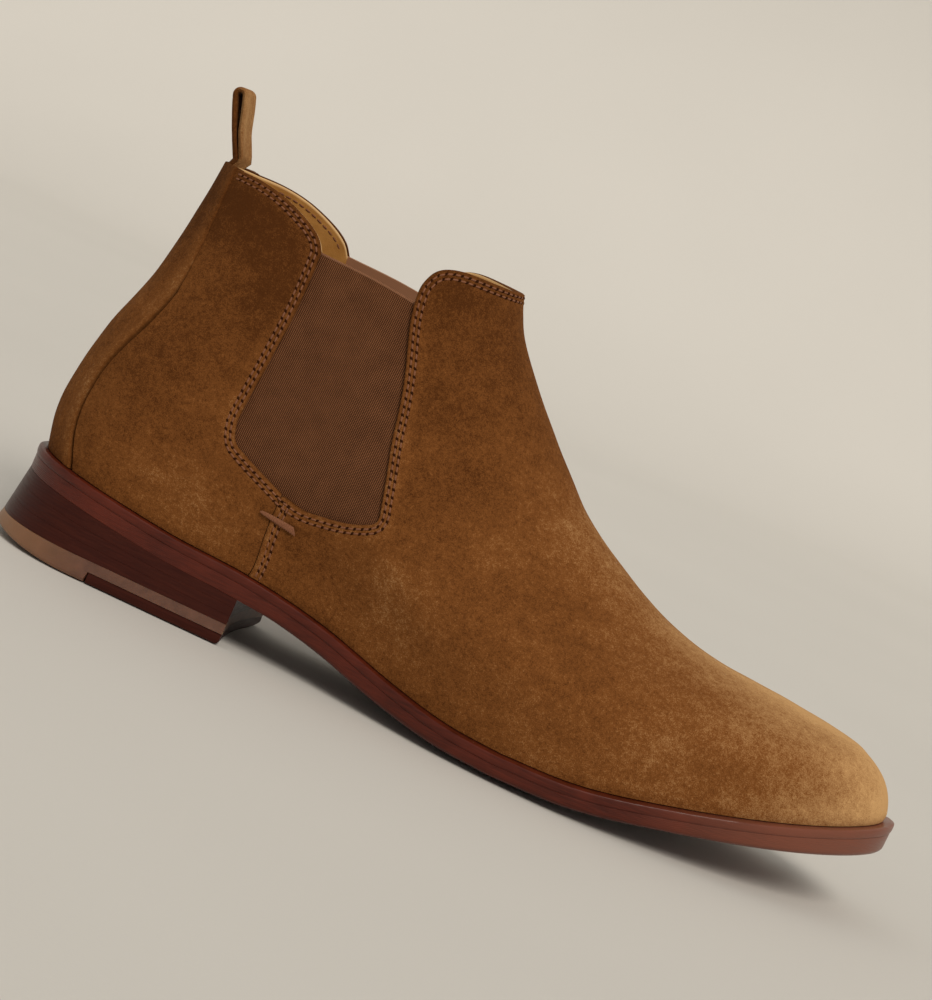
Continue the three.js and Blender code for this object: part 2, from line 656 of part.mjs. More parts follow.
function buildFootbed() {
  const upper = SUEDE + ELASTIC + LINING + 2 * PLY_GAP + CLEAR + FOOTBED_INSET;
  const insoleTop = CLEAR + INSOLE;
  const padUnder = (x) => HEEL_PAD * (1 - smoothstep(shareAt(x), 0.22, 0.3));
  const flat = (h) => () => h;
  const filled = WELT_INSET + 2 * CLEAR;
  add('cork_filler', inner(filled, flat(-WELT), flat(-SHANK.thick - 2 * CLEAR), footbedStations), cork);
  add('insole', inner(upper, flat(CLEAR), flat(insoleTop), footbedStations), board);
  add('heel_pad', inner(
    upper + 3, flat(insoleTop + CLEAR), (x) => insoleTop + CLEAR + Math.max(padUnder(x), 0.3),
    steps(0, 0.34, 10),
  ), cork);
  const rise = (x) => insoleTop + 2 * CLEAR + Math.max(padUnder(x), 0.3);
  add('sock_liner', inner(upper + 1.2, rise, (x) => rise(x) + SOCK, footbedStations), lining);

  const stations = steps(SHANK.from, SHANK.to, 14).map(xAt);
  const bar = (half, low) => stations.map((x) => [-half, half].map((y) => (
    new THREE.Vector3(x, y, seat(x) - CLEAR - (low ? SHANK.thick : 0)))));
  add('shank', sheet(bar(SHANK.half, false), bar(SHANK.half, true)), steel);
}

/** How far the heel's layers stand out, between the outsole (1) and the ground (0). */
function heelRim(level) {
  return (share) => edge(share) + (1 - level) * HEEL_FLARE * (1 - 0.75 * smoothstep(share, 0, 0.14));
}

/** A geometry as a solid that can be cut. */
function cuttable(geometry) {
  return new wasm.Manifold(new wasm.Mesh({
    numProp: 3,
    vertProperties: Float32Array.from(geometry.attributes.position.array),
    triVerts: Uint32Array.from(geometry.index.array),
  }));
}

/** A geometry with the nails' holes cut out of it. */
function drilled(geometry, holes) {
  const cut = holes.reduce((body, hole) => body.subtract(hole), cuttable(geometry));
  const mesh = cut.getMesh();
  const result = new THREE.BufferGeometry();
  result.setAttribute('position', new THREE.Float32BufferAttribute(mesh.vertProperties, 3));
  result.setIndex([...mesh.triVerts]);
  result.computeVertexNormals();
  return result;
}

/** A round pin from z = low to z = high. */
function pin(x, y, radius, low, high) {
  const geometry = new THREE.CylinderGeometry(radius, radius, high - low, 12);
  geometry.deleteAttribute('uv');
  geometry.deleteAttribute('normal');
  geometry.rotateX(Math.PI / 2);
  geometry.translate(x, y, (low + high) / 2);
  return mergeVertices(geometry, 1e-3);
}

function buildHeel() {
  const heelStations = steps(0, breastP, 11);
  const front = heelStations.filter((p) => p > stepP + 0.02);
  const rear = heelStations.filter((p) => p < stepP - 0.02);
  const stepped = [...rear, stepP - 0.002, stepP + 0.002, ...front];
  const insert = [stepP + 0.006, ...front];

  const spots = [[0.03, 0], [0.075, -0.62], [0.075, 0.62], [0.165, -0.66], [0.165, 0.66], [0.24, 0]];
  const nails = spots.map(([share, y]) => [xAt(share), y * HEEL_HALF]);
  const high = NAIL.recess + NAIL.length;
  const holes = nails.map(([x, y]) => cuttable(pin(x, y, NAIL.radius + CLEAR, -1, high + CLEAR)));
  nails.forEach(([x, y], i) => {
    add(`heel_nail_${i + 1}`, pin(x, y, NAIL.radius, NAIL.recess, high), brass);
  });

  const ledge = (x) => (shareAt(x) < RUBBER_STEP ? 0 : TOP_LIFT_STEP + CLEAR);
  const rubberRound = (x) => (shareAt(x) < RUBBER_STEP ? 1.2 : 0.2);
  const rubberLift = layer([
    { out: (s) => heelRim(0)(s) - 1.1, height: ledge },
    { out: (s) => heelRim(0)(s) - 0.1, height: (x) => ledge(x) + rubberRound(x) },
    { out: heelRim(0.25), height: () => TOP_LIFT },
  ], stepped, 4, BREAST_HOLLOW);
  add('rubber_top_lift', drilled(rubberLift, holes), rubber);
  const leatherLift = layer([
    { out: (s) => heelRim(0)(s) - 0.4, height: () => 0 },
    { out: (s) => heelRim(0)(s) - 0.1, height: () => 0.4 },
    { out: heelRim(0.15), height: () => TOP_LIFT_STEP },
  ], insert, 4, BREAST_HOLLOW);
  add('leather_top_insert', drilled(leatherLift, holes), heelLeather);

  for (let k = 0; k < LIFTS; k += 1) {
    const level = (t) => (x) => {
      const low = TOP_LIFT + CLEAR;
      const roof = seat(x) - BAND_HEEL - CLEAR;
      return lerp(low, roof, (k + t) / LIFTS) + (t > 0.5 && k < LIFTS - 1 ? -CLEAR : 0);
    };
    const share = (t) => 0.25 + 0.75 * (k + t) / LIFTS;
    const lift = layer([
      { out: heelRim(share(0)), height: level(0) },
      { out: heelRim(share(1)), height: level(1) },
    ], heelStations, 4, BREAST_HOLLOW);
    add(`heel_lift_${LIFTS - k}`, k === 0 ? drilled(lift, holes) : lift, heelLeather);
  }
}

buildUpper();
buildGussets();
buildStiffeners();
buildLinings();
buildBarTacks();
buildPullTab();
buildWelt();
buildOutsole();
buildFootbed();
buildHeel();
boot.position.x = -xAt(TREAD_CENTRE);

export default boot;
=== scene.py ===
"""A suede chelsea boot for the right foot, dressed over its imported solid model.

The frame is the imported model's own, in metres: +X from heel to toe, +Y to the inner side of the foot,
+Z up, with the origin at the middle of the heel's tread. The upper's form, the last, is worked out in
millimetres with x = 0 at the heel's rearmost point, and moved into the frame when a mesh is made.
"""

import json
import logging
import math
from dataclasses import dataclass, field
from enum import Enum
from typing import Callable, Optional, Sequence

import bmesh
import bpy
import numpy as np
from mathutils import Matrix, Vector, kdtree

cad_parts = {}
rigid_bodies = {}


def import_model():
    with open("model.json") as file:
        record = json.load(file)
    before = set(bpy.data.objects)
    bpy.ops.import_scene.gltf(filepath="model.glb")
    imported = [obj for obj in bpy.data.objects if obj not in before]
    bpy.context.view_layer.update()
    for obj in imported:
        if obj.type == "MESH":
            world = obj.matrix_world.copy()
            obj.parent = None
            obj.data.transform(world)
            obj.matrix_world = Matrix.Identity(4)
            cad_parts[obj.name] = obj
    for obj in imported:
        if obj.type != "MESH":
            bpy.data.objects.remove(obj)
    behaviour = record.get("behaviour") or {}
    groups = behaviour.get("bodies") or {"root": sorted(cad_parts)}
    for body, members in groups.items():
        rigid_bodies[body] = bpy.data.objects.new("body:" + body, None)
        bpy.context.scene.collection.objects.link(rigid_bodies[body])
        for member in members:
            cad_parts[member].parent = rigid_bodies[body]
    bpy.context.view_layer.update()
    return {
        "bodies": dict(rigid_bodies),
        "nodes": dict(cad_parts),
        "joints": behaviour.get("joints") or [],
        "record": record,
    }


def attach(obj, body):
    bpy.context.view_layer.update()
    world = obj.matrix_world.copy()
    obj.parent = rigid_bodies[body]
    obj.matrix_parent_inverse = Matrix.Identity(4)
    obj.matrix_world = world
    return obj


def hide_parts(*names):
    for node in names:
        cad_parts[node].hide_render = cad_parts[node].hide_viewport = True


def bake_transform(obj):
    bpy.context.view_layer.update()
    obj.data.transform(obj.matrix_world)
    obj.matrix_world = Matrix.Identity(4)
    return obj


LOG = logging.getLogger("boot")
MM = 0.001
# Steps along a smooth curve, the step in q or v that slopes are taken over, and the waves of an unevenness.
CURVE_STEPS = 1201
SLOPE_STEP = 1e-3
RIPPLE_WAVES = 9
Array = np.ndarray
Curve = Callable[[Array], Array]


class Side(Enum):
    """The two sides of the boot, by the sign of y."""

    OUTER = -1
    INNER = 1


class Fold(Enum):
    """The lines that a pattern is turned over, by where a point at q = 0 goes."""

    BACK = 0
    RIDGE = 2


# ---- Curves and grids --------------------------------------------------------------------------


def profile(points: Sequence[Sequence[float]]) -> Curve:
    """A smooth curve y(x) through points, with straight ends.

    Args:
        points: [x, y] pairs with rising x.

    Returns:
        A function of an array of x.
    """
    xs, ys = np.array(points, float).T
    last = len(xs) - 1
    low = np.maximum(np.arange(last + 1) - 1, 0)
    high = np.minimum(np.arange(last + 1) + 1, last)
    slope = (ys[high] - ys[low]) / (xs[high] - xs[low])

    def value(x: Array) -> Array:
        """The curve's height.

        Args:
            x: places along it.

        Returns:
            A height for each.
        """
        x = np.asarray(x, float)
        i = np.clip(np.searchsorted(xs, x) - 1, 0, last - 1)
        d = xs[i + 1] - xs[i]
        t = np.clip((x - xs[i]) / d, 0, 1)
        s = 1 - t
        inside = (ys[i] * s * s * (1 + 2 * t) + ys[i + 1] * t * t * (1 + 2 * s)
                  + t * s * d * (slope[i] * s - slope[i + 1] * t))
        before = ys[0] + slope[0] * (x - xs[0])
        after = ys[-1] + slope[-1] * (x - xs[-1])
        return np.where(x < xs[0], before, np.where(x > xs[-1], after, inside))

    return value


def spline(points: Array) -> Curve:
    """A smooth curve through 2D points, followed by its length from 0 to 1.

    Args:
        points: an (n, 2) array.

    Returns:
        A function of an array of shares of the length.
    """
    p = np.asarray(points, float)
    t = np.linspace(0, len(p) - 1, CURVE_STEPS)
    i = np.clip(t.astype(int), 0, len(p) - 2)
    w = (t - i)[:, None]
    before, after = p[np.maximum(i - 1, 0)], p[np.minimum(i + 2, len(p) - 1)]
    v0, v1 = (p[i + 1] - before) / 2, (after - p[i]) / 2
    dense = ((2 * p[i] - 2 * p[i + 1] + v0 + v1) * w**3
             + (-3 * p[i] + 3 * p[i + 1] - 2 * v0 - v1) * w**2 + v0 * w + p[i])
    run = np.concatenate([[0], np.cumsum(np.linalg.norm(np.diff(dense, axis=0), axis=1))])
    run /= run[-1]
    return lambda s: np.stack([np.interp(s, run, dense[:, k]) for k in (0, 1)], -1)


def coons(left: Curve, right: Curve, bottom: Curve, top: Curve, a: Array, b: Array) -> Array:
    """Points of a four-sided patch between curves that meet at its corners.

    Args:
        left: curve at a = 0, from bottom to top.
        right: curve at a = 1, from bottom to top.
        bottom: curve at b = 0.
        top: curve at b = 1.
        a: shares across the patch.
        b: shares up the patch.

    Returns:
        An array shaped (len(a), len(b), 2).
    """
    near, far = left(b)[None], right(b)[None]
    low, high = bottom(a)[:, None], top(a)[:, None]
    corner = [curve(np.array([end]))[0] for curve in (left, right) for end in (0.0, 1.0)]
    x, y = a[:, None, None], b[None, :, None]
    return ((1 - x) * near + x * far + (1 - y) * low + y * high
            - (1 - x) * ((1 - y) * corner[0] + y * corner[1])
            - x * ((1 - y) * corner[2] + y * corner[3]))


def joined(curves: Sequence[Curve], shares: Sequence[float]) -> Curve:
    """Several curves one after another.

    Args:
        curves: each followed from 0 to 1.
        shares: how much of the whole each takes.

    Returns:
        One curve, followed from 0 to 1.
    """
    ends = np.cumsum(shares)

    def value(t: Array) -> Array:
        """The point at each share of the whole.

        Args:
            t: shares from 0 to 1.

        Returns:
            An (n, 2) array.
        """
        t = np.clip(np.asarray(t, float), 0, 1)
        which = np.minimum(np.searchsorted(ends, t, side="left"), len(curves) - 1)
        start = np.concatenate([[0], ends[:-1]])[which]
        local = np.clip((t - start) / np.array(shares)[which], 0, 1)
        out = np.zeros((len(t), 2))
        for k, curve in enumerate(curves):
            pick = which == k
            if pick.any():
                out[pick] = curve(local[pick])
        return out

    return value


def straight(start: Sequence[float], end: Sequence[float]) -> Curve:
    """The straight line from start to end."""
    a, b = np.array(start, float), np.array(end, float)
    return lambda t: a + (b - a) * np.asarray(t)[:, None]


def eased(x: Array, low: float, high: float) -> Array:
    """0 below low, 1 above high, smooth between."""
    t = np.clip((np.asarray(x, float) - low) / (high - low), 0, 1)
    return t * t * (3 - 2 * t)


def ripple(points: Array, seed: int, scale: float) -> Array:
    """A smooth, repeatable unevenness between about -1 and 1.

    Args:
        points: (..., 3) places in millimetres.
        seed: which pattern.
        scale: size of its waves in millimetres.

    Returns:
        One number for each place.
    """
    rng = np.random.default_rng(seed)
    total = np.zeros(points.shape[:-1])
    for _ in range(RIPPLE_WAVES):
        direction = rng.normal(size=3)
        direction *= rng.uniform(0.6, 1.5) * 2 * math.pi / scale / np.linalg.norm(direction)
        total += np.sin(points @ direction + rng.uniform(0, 2 * math.pi))
    return total / 4


# ---- The last ----------------------------------------------------------------------------------


@dataclass
class Last:
    """The form that every piece of the upper lies on, in millimetres.

    The tread's centre and the ball are shares of the length.
    """

    length: float = 296.5
    heel_pitch: float = 14.8
    toe_spring: float = 24.0
    heel_half: float = 30.5
    waist_outer: float = 32.5
    waist_inner: float = 25.0
    ball_outer: float = 49.6
    ball_inner: float = 47.0
    toe_half: float = 47.5
    toe_swing: float = 6.0
    collar_half: float = 25.0
    collar_rise: float = 110.0
    band_heel: float = 8.0
    band_ball: float = 7.2
    band_toe: float = 8.4
    crown: float = 1.5
    edge_heel: float = 2.4
    edge_waist: float = 2.8
    edge_ball: float = 4.2
    edge_toe: float = 3.6
    heel_flare: float = 3.6
    clear: float = 0.3
    tread_centre: float = 0.2
    ball: float = 0.6

    def __post_init__(self) -> None:
        """Works out the side view's four edges and the widths."""
        self.back_inset = self.edge_heel + self.heel_flare + 0.5
        self.origin = self.x_at(self.tread_centre)
        self.pitch = profile([[-0.05, 1.58], [0.06, 1.4], [0.18, 1.12], [0.28, 1], [0.37, 0.73],
                              [0.47, 0.27], [0.54, 0.05], [0.6, 0]])
        self.spring = profile([[0.6, 0], [0.69, 0.06], [0.79, 0.29], [0.91, 0.65], [1.03, 1.09]])
        self.back = spline(self.side_points([[0, 0], [-2, 11.6], [-1.5, 24.6], [2.5, 45], [10, 68],
                                             [14.5, 92.3], [16.5, 109.5]]))
        self.ridge = spline(self.side_points([
            [296.5, 0], [296.7, 3], [294.5, 9], [290.5, 15], [284.5, 20.6], [276.5, 25.7], [253.5, 34.4],
            [228.5, 42.3], [210.5, 50], [194.5, 58.6], [173.5, 71.3], [161.5, 81], [143.5, 96.4],
            [129.5, 109.2], [124.5, 117], [122.5, 122.5]]))
        wo, wi, bo, bi = self.waist_outer, self.waist_inner, self.ball_outer, self.ball_inner
        hh, th = self.heel_half, self.toe_half
        self.half = {
            Side.OUTER: profile([[0, hh], [0.2, hh + 1], [0.36, wo], [0.45, wo + (bo - wo) * 0.3],
                                 [0.54, wo + (bo - wo) * 0.72], [0.66, bo], [0.8, th], [1, th]]),
            Side.INNER: profile([[0, hh], [0.15, hh - 0.5], [0.36, wi], [0.45, wi + (bi - wi) * 0.17],
                                 [0.54, wi + (bi - wi) * 0.5], [0.69, bi], [0.8, th], [1, th]]),
        }
        self.full = {
            Side.OUTER: profile([[0, 3.5], [0.2, 4], [0.4, 4.5], [0.7, 3], [1, 2]]),
            Side.INNER: profile([[0, 3.5], [0.2, 4.5], [0.4, 8.5], [0.6, 5], [0.8, 3], [1, 2]]),
        }
        self.back_round = profile([[0, 0.108], [0.2, 0.13], [0.45, 0.175], [0.7, 0.25], [1, 0.38]])
        self.ridge_round = profile([[0, 0.3], [0.2, 0.35], [0.45, 0.42], [1, 0.42]])
        self.edge = profile([[0, self.edge_heel], [0.25, self.edge_heel], [0.38, self.edge_waist],
                             [0.6, self.edge_ball], [0.85, self.edge_ball], [1, self.edge_toe]])
        self.band = profile([[0, self.band_heel], [0.28, self.band_heel], [0.6, self.band_ball],
                             [0.75, self.band_ball + 0.3], [1, self.band_toe]])

    def x_at(self, share: Array) -> Array:
        """The place along the boot of a share of the last's length."""
        return self.back_inset + np.asarray(share) * self.length

    def share_at(self, x: Array) -> Array:
        """The share of the last's length at a place along the boot."""
        return (np.asarray(x, float) - self.back_inset) / self.length

    def seat(self, x: Array) -> Array:
        """Height of the welt's top.

        Args:
            x: places along the boot.

        Returns:
            Heights in millimetres.
        """
        share = self.share_at(x)
        heel = self.heel_pitch * np.where(share < self.ball, self.pitch(share), 0)
        toe = self.toe_spring * np.where(share > self.ball, self.spring(share), 0)
        return self.band_ball + self.crown + heel + toe

    def swing(self, share: Array) -> Array:
        """How far the middle of the foot has turned to the inner side."""
        return self.toe_swing * eased(share, 0.45, 1.1)

    def side_points(self, pattern: Sequence[Sequence[float]]) -> Array:
        """Side pattern points as places in the side view.

        Args:
            pattern: [x along the last, height above the welt] of each point.

        Returns:
            An (n, 2) array of x and z.
        """
        x, h = np.array(pattern, float).T
        world = self.back_inset + x
        return np.stack([world, self.seat(world) + h], -1)

    def side_view(self, u: Array, v: Array) -> tuple[Array, Array]:
        """The last seen from the side.

        Args:
            u: shares from the back to the ridge.
            v: shares from the welt to the collar.

        Returns:
            x and z of each point.
        """
        u, v = np.broadcast_arrays(np.asarray(u, float), np.asarray(v, float))
        shape = u.shape
        u, v = u.ravel(), v.ravel()
        left, right = self.back(v), self.ridge(v)
        x = self.x_at(u)
        low = np.stack([x, self.seat(x)], -1)
        (b0, b1), (r0, r1) = self.back(np.array([0, 1.0])), self.ridge(np.array([0, 1.0]))
        high = b1 + (r1 - b1) * u[:, None]
        s, t = u[:, None], v[:, None]
        out = ((1 - s) * left + s * right + (1 - t) * low + t * high
               - (1 - s) * ((1 - t) * b0 + t * b1) - s * ((1 - t) * r0 + t * r1))
        return out[:, 0].reshape(shape), out[:, 1].reshape(shape)

    @staticmethod
    def closing(distance: Array, reach: Array, power: Array) -> Array:
        """How the surface closes over the back and the ridge.

        Args:
            distance: share of the length from the edge where both sides meet.
            reach: where the surface has its full width.
            power: 2 for a round end, more for a fuller one.

        Returns:
            Shares of the full width.
        """
        t = np.clip(distance / reach, 0, 1)
        return np.sqrt(np.maximum(0, 1 - (1 - t) ** power))

    def half_width(self, side: Side, u: Array, v: Array) -> Array:
        """Half width of the last.

        Args:
            side: which side of the foot.
            u: shares from the back to the ridge.
            v: shares from the welt to the collar.

        Returns:
            The width from the middle plane in millimetres.
        """
        body = self.half[side](u) * (1 - eased(v, 0, 1)) + self.collar_half * eased(v, 0, 1)
        full = self.full[side](u) * 4 * v * (1 - v)
        toe_full = 2 + 0.6 * eased(v, 0, 0.12)
        return ((body + full) * self.closing(u, self.back_round(v), 2.0)
                * self.closing(1 - u, self.ridge_round(v), toe_full))

    def point(self, q: Array, v: Array) -> Array:
        """Points of the last.

        Args:
            q: the way round, 0 at the back, 1 at the ridge and 2 at the back again.
            v: shares from the welt to the collar.

        Returns:
            (..., 3) places in millimetres.
        """
        q, v = np.broadcast_arrays(np.asarray(q, float), np.asarray(v, float))
        inner = (q < 0) | (q > 1)
        p = np.where(q < 0, -q, np.where(q > 1, 2 - q, q))
        u = np.sin(p * math.pi / 2) ** 2
        x, z = self.side_view(u, v)
        swing = self.swing(u) * (1 - 0.7 * v)
        y = np.where(inner, self.half_width(Side.INNER, u, v), -self.half_width(Side.OUTER, u, v))
        return np.stack([x, swing + y, z], -1)

    def axes(self, q: Array, v: Array) -> tuple[Array, Array, Array]:
        """The surface's two directions and its outward normal.

        Args:
            q: the way round.
            v: shares from the welt to the collar.

        Returns:
            The slope along q, the slope along v and the unit normal.
        """
        d = SLOPE_STEP
        across = (self.point(q + d, v) - self.point(q - d, v)) / (2 * d)
        hi, lo = np.minimum(v + d, 1), np.maximum(v - d, 0)
        up = (self.point(q, hi) - self.point(q, lo)) / (hi - lo)[..., None]
        normal = np.cross(across, up)
        return across, up, normal / np.linalg.norm(normal, axis=-1, keepdims=True)

    def offset(self, q: Array, v: Array, out: Array) -> Array:
        """Points moved out along the normal, and kept clear above the welt.

        Args:
            q: the way round.
            v: shares from the welt to the collar.
            out: how far, in millimetres.

        Returns:
            (..., 3) places in millimetres.
        """
        q, v = np.broadcast_arrays(np.asarray(q, float), np.asarray(v, float))
        points = self.point(q, v) + self.axes(q, v)[2] * np.broadcast_to(out, q.shape)[..., None]
        points[..., 2] = np.maximum(points[..., 2], self.seat(points[..., 0]) + self.clear)
        return points

    def lay(self, pattern: Sequence[Sequence[float]]) -> Array:
        """Side pattern points laid on the outer side.

        Args:
            pattern: [x along the last, height above the welt] of each point.

        Returns:
            (n, 2) points (q, v).
        """
        target = self.side_points(pattern)
        u = np.full(len(target), 0.4)
        v = np.full(len(target), 0.4)
        d, limit = 1e-5, 0.08
        for _ in range(80):
            x, z = self.side_view(u, v)
            xu, zu = self.side_view(u + d, v)
            xv, zv = self.side_view(u, v + d)
            a, b, c, e = (xu - x) / d, (xv - x) / d, (zu - z) / d, (zv - z) / d
            det = a * e - b * c
            dx, dz = target[:, 0] - x, target[:, 1] - z
            u = np.clip(u + np.clip((e * dx - b * dz) / det, -limit, limit), 0.001, 0.999)
            v = np.clip(v + np.clip((a * dz - c * dx) / det, -limit, limit), 0, 1)
        return np.stack([2 / math.pi * np.arcsin(np.sqrt(u)), v], -1)

    def laid(self, pattern: Sequence[Sequence[float]]) -> Curve:
        """A smooth curve on the last through side pattern points."""
        return spline(self.lay(pattern))

    def inward(self, edge: Array, distance: Array, turn: float) -> Array:
        """A line that runs beside an edge on the surface.

        Args:
            edge: (n, 2) points (q, v) of the edge.
            distance: how far from it, in millimetres.
            turn: 1 for the left of the edge's direction seen from outside, -1 for the right.

        Returns:
            (n, 2) points (q, v).
        """
        across, up, normal = self.axes(edge[:, 0], edge[:, 1])
        run = np.gradient(self.point(edge[:, 0], edge[:, 1]), axis=0)
        aside = np.cross(normal, run) * turn
        aside *= (distance / np.linalg.norm(aside, axis=1))[:, None]
        aa, ab, bb = (across**2).sum(1), (across * up).sum(1), (up**2).sum(1)
        ra, rb = (across * aside).sum(1), (up * aside).sum(1)
        det = aa * bb - ab**2
        step = np.stack([(bb * ra - ab * rb) / det, (aa * rb - ab * ra) / det], -1)
        return edge + step

    def outline(self, side: Side, p: Array, out: Array) -> Array:
        """The welt seam moved out in plan.

        Args:
            side: which side of the foot.
            p: the way round, 0 at the back of the heel and 1 at the toe.
            out: how far, in millimetres.

        Returns:
            (n, 2) places in millimetres.
        """
        sign = side.value
        p = np.asarray(p, float)
        q = p if side is Side.OUTER else 2 - p
        d = SLOPE_STEP if side is Side.OUTER else -SLOPE_STEP
        run = (self.point(q + d, np.zeros_like(p)) - self.point(q - d, np.zeros_like(p)))[..., :2]
        run[p < SLOPE_STEP] = (0, sign)
        run[p > 1 - SLOPE_STEP] = (0, -sign)
        run /= np.linalg.norm(run, axis=-1, keepdims=True)
        here = self.point(q, np.zeros_like(p))[..., :2]
        normal = np.stack([-sign * run[..., 1], sign * run[..., 0]], -1)
        return here + normal * np.broadcast_to(out, p.shape)[..., None]

    def underside(self, x: Array, y: Array) -> Array:
        """Height of the outsole's underside, which bows down under the ball.

        Args:
            x: places along the boot.
            y: places across it.

        Returns:
            Heights in millimetres.
        """
        share = self.share_at(x)
        middle = self.swing(share)
        half = 0.5 * (self.ball_outer + self.ball_inner)
        bow = self.crown * eased(share, 0.3, 0.48) * np.maximum(0, 1 - ((y - middle) / half) ** 2)
        return self.seat(x) - self.band(share) - bow

    def place(self, points: Array) -> Array:
        """Millimetres of the last as metres of the frame."""
        return (points - np.array([self.origin, 0, 0])) * MM


# ---- Meshes ------------------------------------------------------------------------------------


def make_mesh(name: str, vertices: Array, faces: Sequence[Sequence[int]],
              sharp: float = 40) -> bpy.types.Object:
    """A smooth object in the scene, from vertices in metres.

    Args:
        name: the object's name.
        vertices: an (n, 3) array.
        faces: corner numbers of each face.
        sharp: edges that turn more than this many degrees stay crisp.

    Returns:
        The object.
    """
    mesh = bpy.data.meshes.new(name)
    mesh.from_pydata([tuple(p) for p in vertices], [], [tuple(int(i) for i in f) for f in faces])
    mesh.validate()
    mesh.polygons.foreach_set("use_smooth", [True] * len(mesh.polygons))
    mesh.set_sharp_from_angle(angle=math.radians(sharp))
    mesh.update()
    obj = bpy.data.objects.new(name, mesh)
    bpy.context.scene.collection.objects.link(obj)
    return obj


def grid_faces(columns: int, rows: int, start: int = 0, flip: bool = False) -> Array:
    """Four-cornered faces over a grid of vertices.

    Args:
        columns: vertices one way.
        rows: vertices the other way, numbered first.
        start: number of the grid's first vertex.
        flip: whether the faces look the other way.

    Returns:
        An (n, 4) array of corner numbers.
    """
    i, j = np.meshgrid(np.arange(columns - 1), np.arange(rows - 1), indexing="ij")
    a = (i * rows + j).ravel() + start
    corners = np.stack([a, a + rows, a + rows + 1, a + 1], -1)
    return corners[:, ::-1] if flip else corners


def grid_rim(columns: int, rows: int) -> list[int]:
    """A grid's outermost vertices.

    Args:
        columns: vertices one way.
        rows: vertices the other way, numbered first.

    Returns:
        Their numbers, once round.
    """
    return ([i * rows for i in range(columns)]
            + [(columns - 1) * rows + j for j in range(1, rows)]
            + [i * rows + rows - 1 for i in range(columns - 2, -1, -1)]
            + list(range(rows - 2, 0, -1)))


def put_values(obj: bpy.types.Object, name: str, values: Array) -> None:
    """Stores one number for each vertex."""
    layer = obj.data.attributes.new(name, "FLOAT", "POINT")
    layer.data.foreach_set("value", np.asarray(values, np.float32).ravel())


def sheet_mesh(name: str, front: Array, back: Array, sharp: float = 40) -> bpy.types.Object:
    """A closed sheet between two grids of points.

    Args:
        name: the object's name.
        front: (columns, rows, 3) places in metres, on the outside.
        back: as many places on the inside.
        sharp: edges that turn more than this many degrees stay crisp.

    Returns:
        The object.
    """
    columns, rows = front.shape[:2]
    n = columns * rows
    ring = grid_rim(columns, rows)
    faces = [*grid_faces(columns, rows), *grid_faces(columns, rows, n, flip=True)]
    for k, a in enumerate(ring):
        b = ring[(k + 1) % len(ring)]
        faces.append((a + n, b + n, b, a))
    return make_mesh(name, np.concatenate([front.reshape(-1, 3), back.reshape(-1, 3)]), faces, sharp)


def distance_to(points: Array, line: Array) -> Array:
    """Distance of each point from a dense line.

    Args:
        points: (..., 3) places.
        line: (n, 3) places along the line.

    Returns:
        One distance for each point.
    """
    tree = kdtree.KDTree(len(line))
    for k, p in enumerate(line):
        tree.insert(p, k)
    tree.balance()
    flat = points.reshape(-1, 3)
    return np.array([tree.find(p)[2] for p in flat]).reshape(points.shape[:-1])


def capsules(name: str, spots: Sequence[tuple[Array, Array, Array]], length: float | Array,
             width: float, height: float) -> bpy.types.Object:
    """Many small rounded stitches in one object.

    Args:
        name: the object's name.
        spots: a centre, a direction and a normal for each, in metres.
        length: their length in millimetres, one for all or one for each.
        width: their width.
        height: their height.

    Returns:
        The object.
    """
    rings, sides = 7, 8
    turn = np.linspace(0, 2 * math.pi, sides, endpoint=False)
    along = -np.cos(np.linspace(0, math.pi, rings))
    swell = np.sqrt(np.maximum(0.02, 1 - np.abs(along) ** 3.2))
    lengths = np.broadcast_to(length, len(spots))
    local = np.array([[a / 2, math.cos(t) * s * width / 2, math.sin(t) * s * height / 2]
                      for a, s in zip(along, swell) for t in turn]) * MM
    body = [(low + k, low + (k + 1) % sides, low + sides + (k + 1) % sides, low + sides + k)
            for low in range(0, (rings - 1) * sides, sides) for k in range(sides)]
    ends = [tuple(range(sides - 1, -1, -1)), tuple(range((rings - 1) * sides, rings * sides))]
    vertices, faces = [], []
    for k, (centre, direction, normal) in enumerate(spots):
        x = direction / np.linalg.norm(direction)
        y = np.cross(normal, x)
        y /= np.linalg.norm(y)
        frame = np.stack([x, y, np.cross(x, y)])
        vertices.append((local * [lengths[k], 1, 1]) @ frame + centre)
        faces += [tuple(i + k * rings * sides for i in f) for f in body + ends]
    return make_mesh(name, np.concatenate(vertices), faces, 80)


# ---- Colours and materials -----------------------------------------------------------------------


def color(code: str) -> tuple[float, float, float, float]:
    """A hex sRGB colour as linear RGBA.

    Args:
        code: a hash sign and six digits.

    Returns:
        Red, green, blue and an alpha of 1.
    """
    parts = [int(code[i:i + 2], 16) / 255 for i in (1, 3, 5)]
    linear = [c / 12.92 if c <= 0.04045 else ((c + 0.055) / 1.055) ** 2.4 for c in parts]
    return (*linear, 1.0)


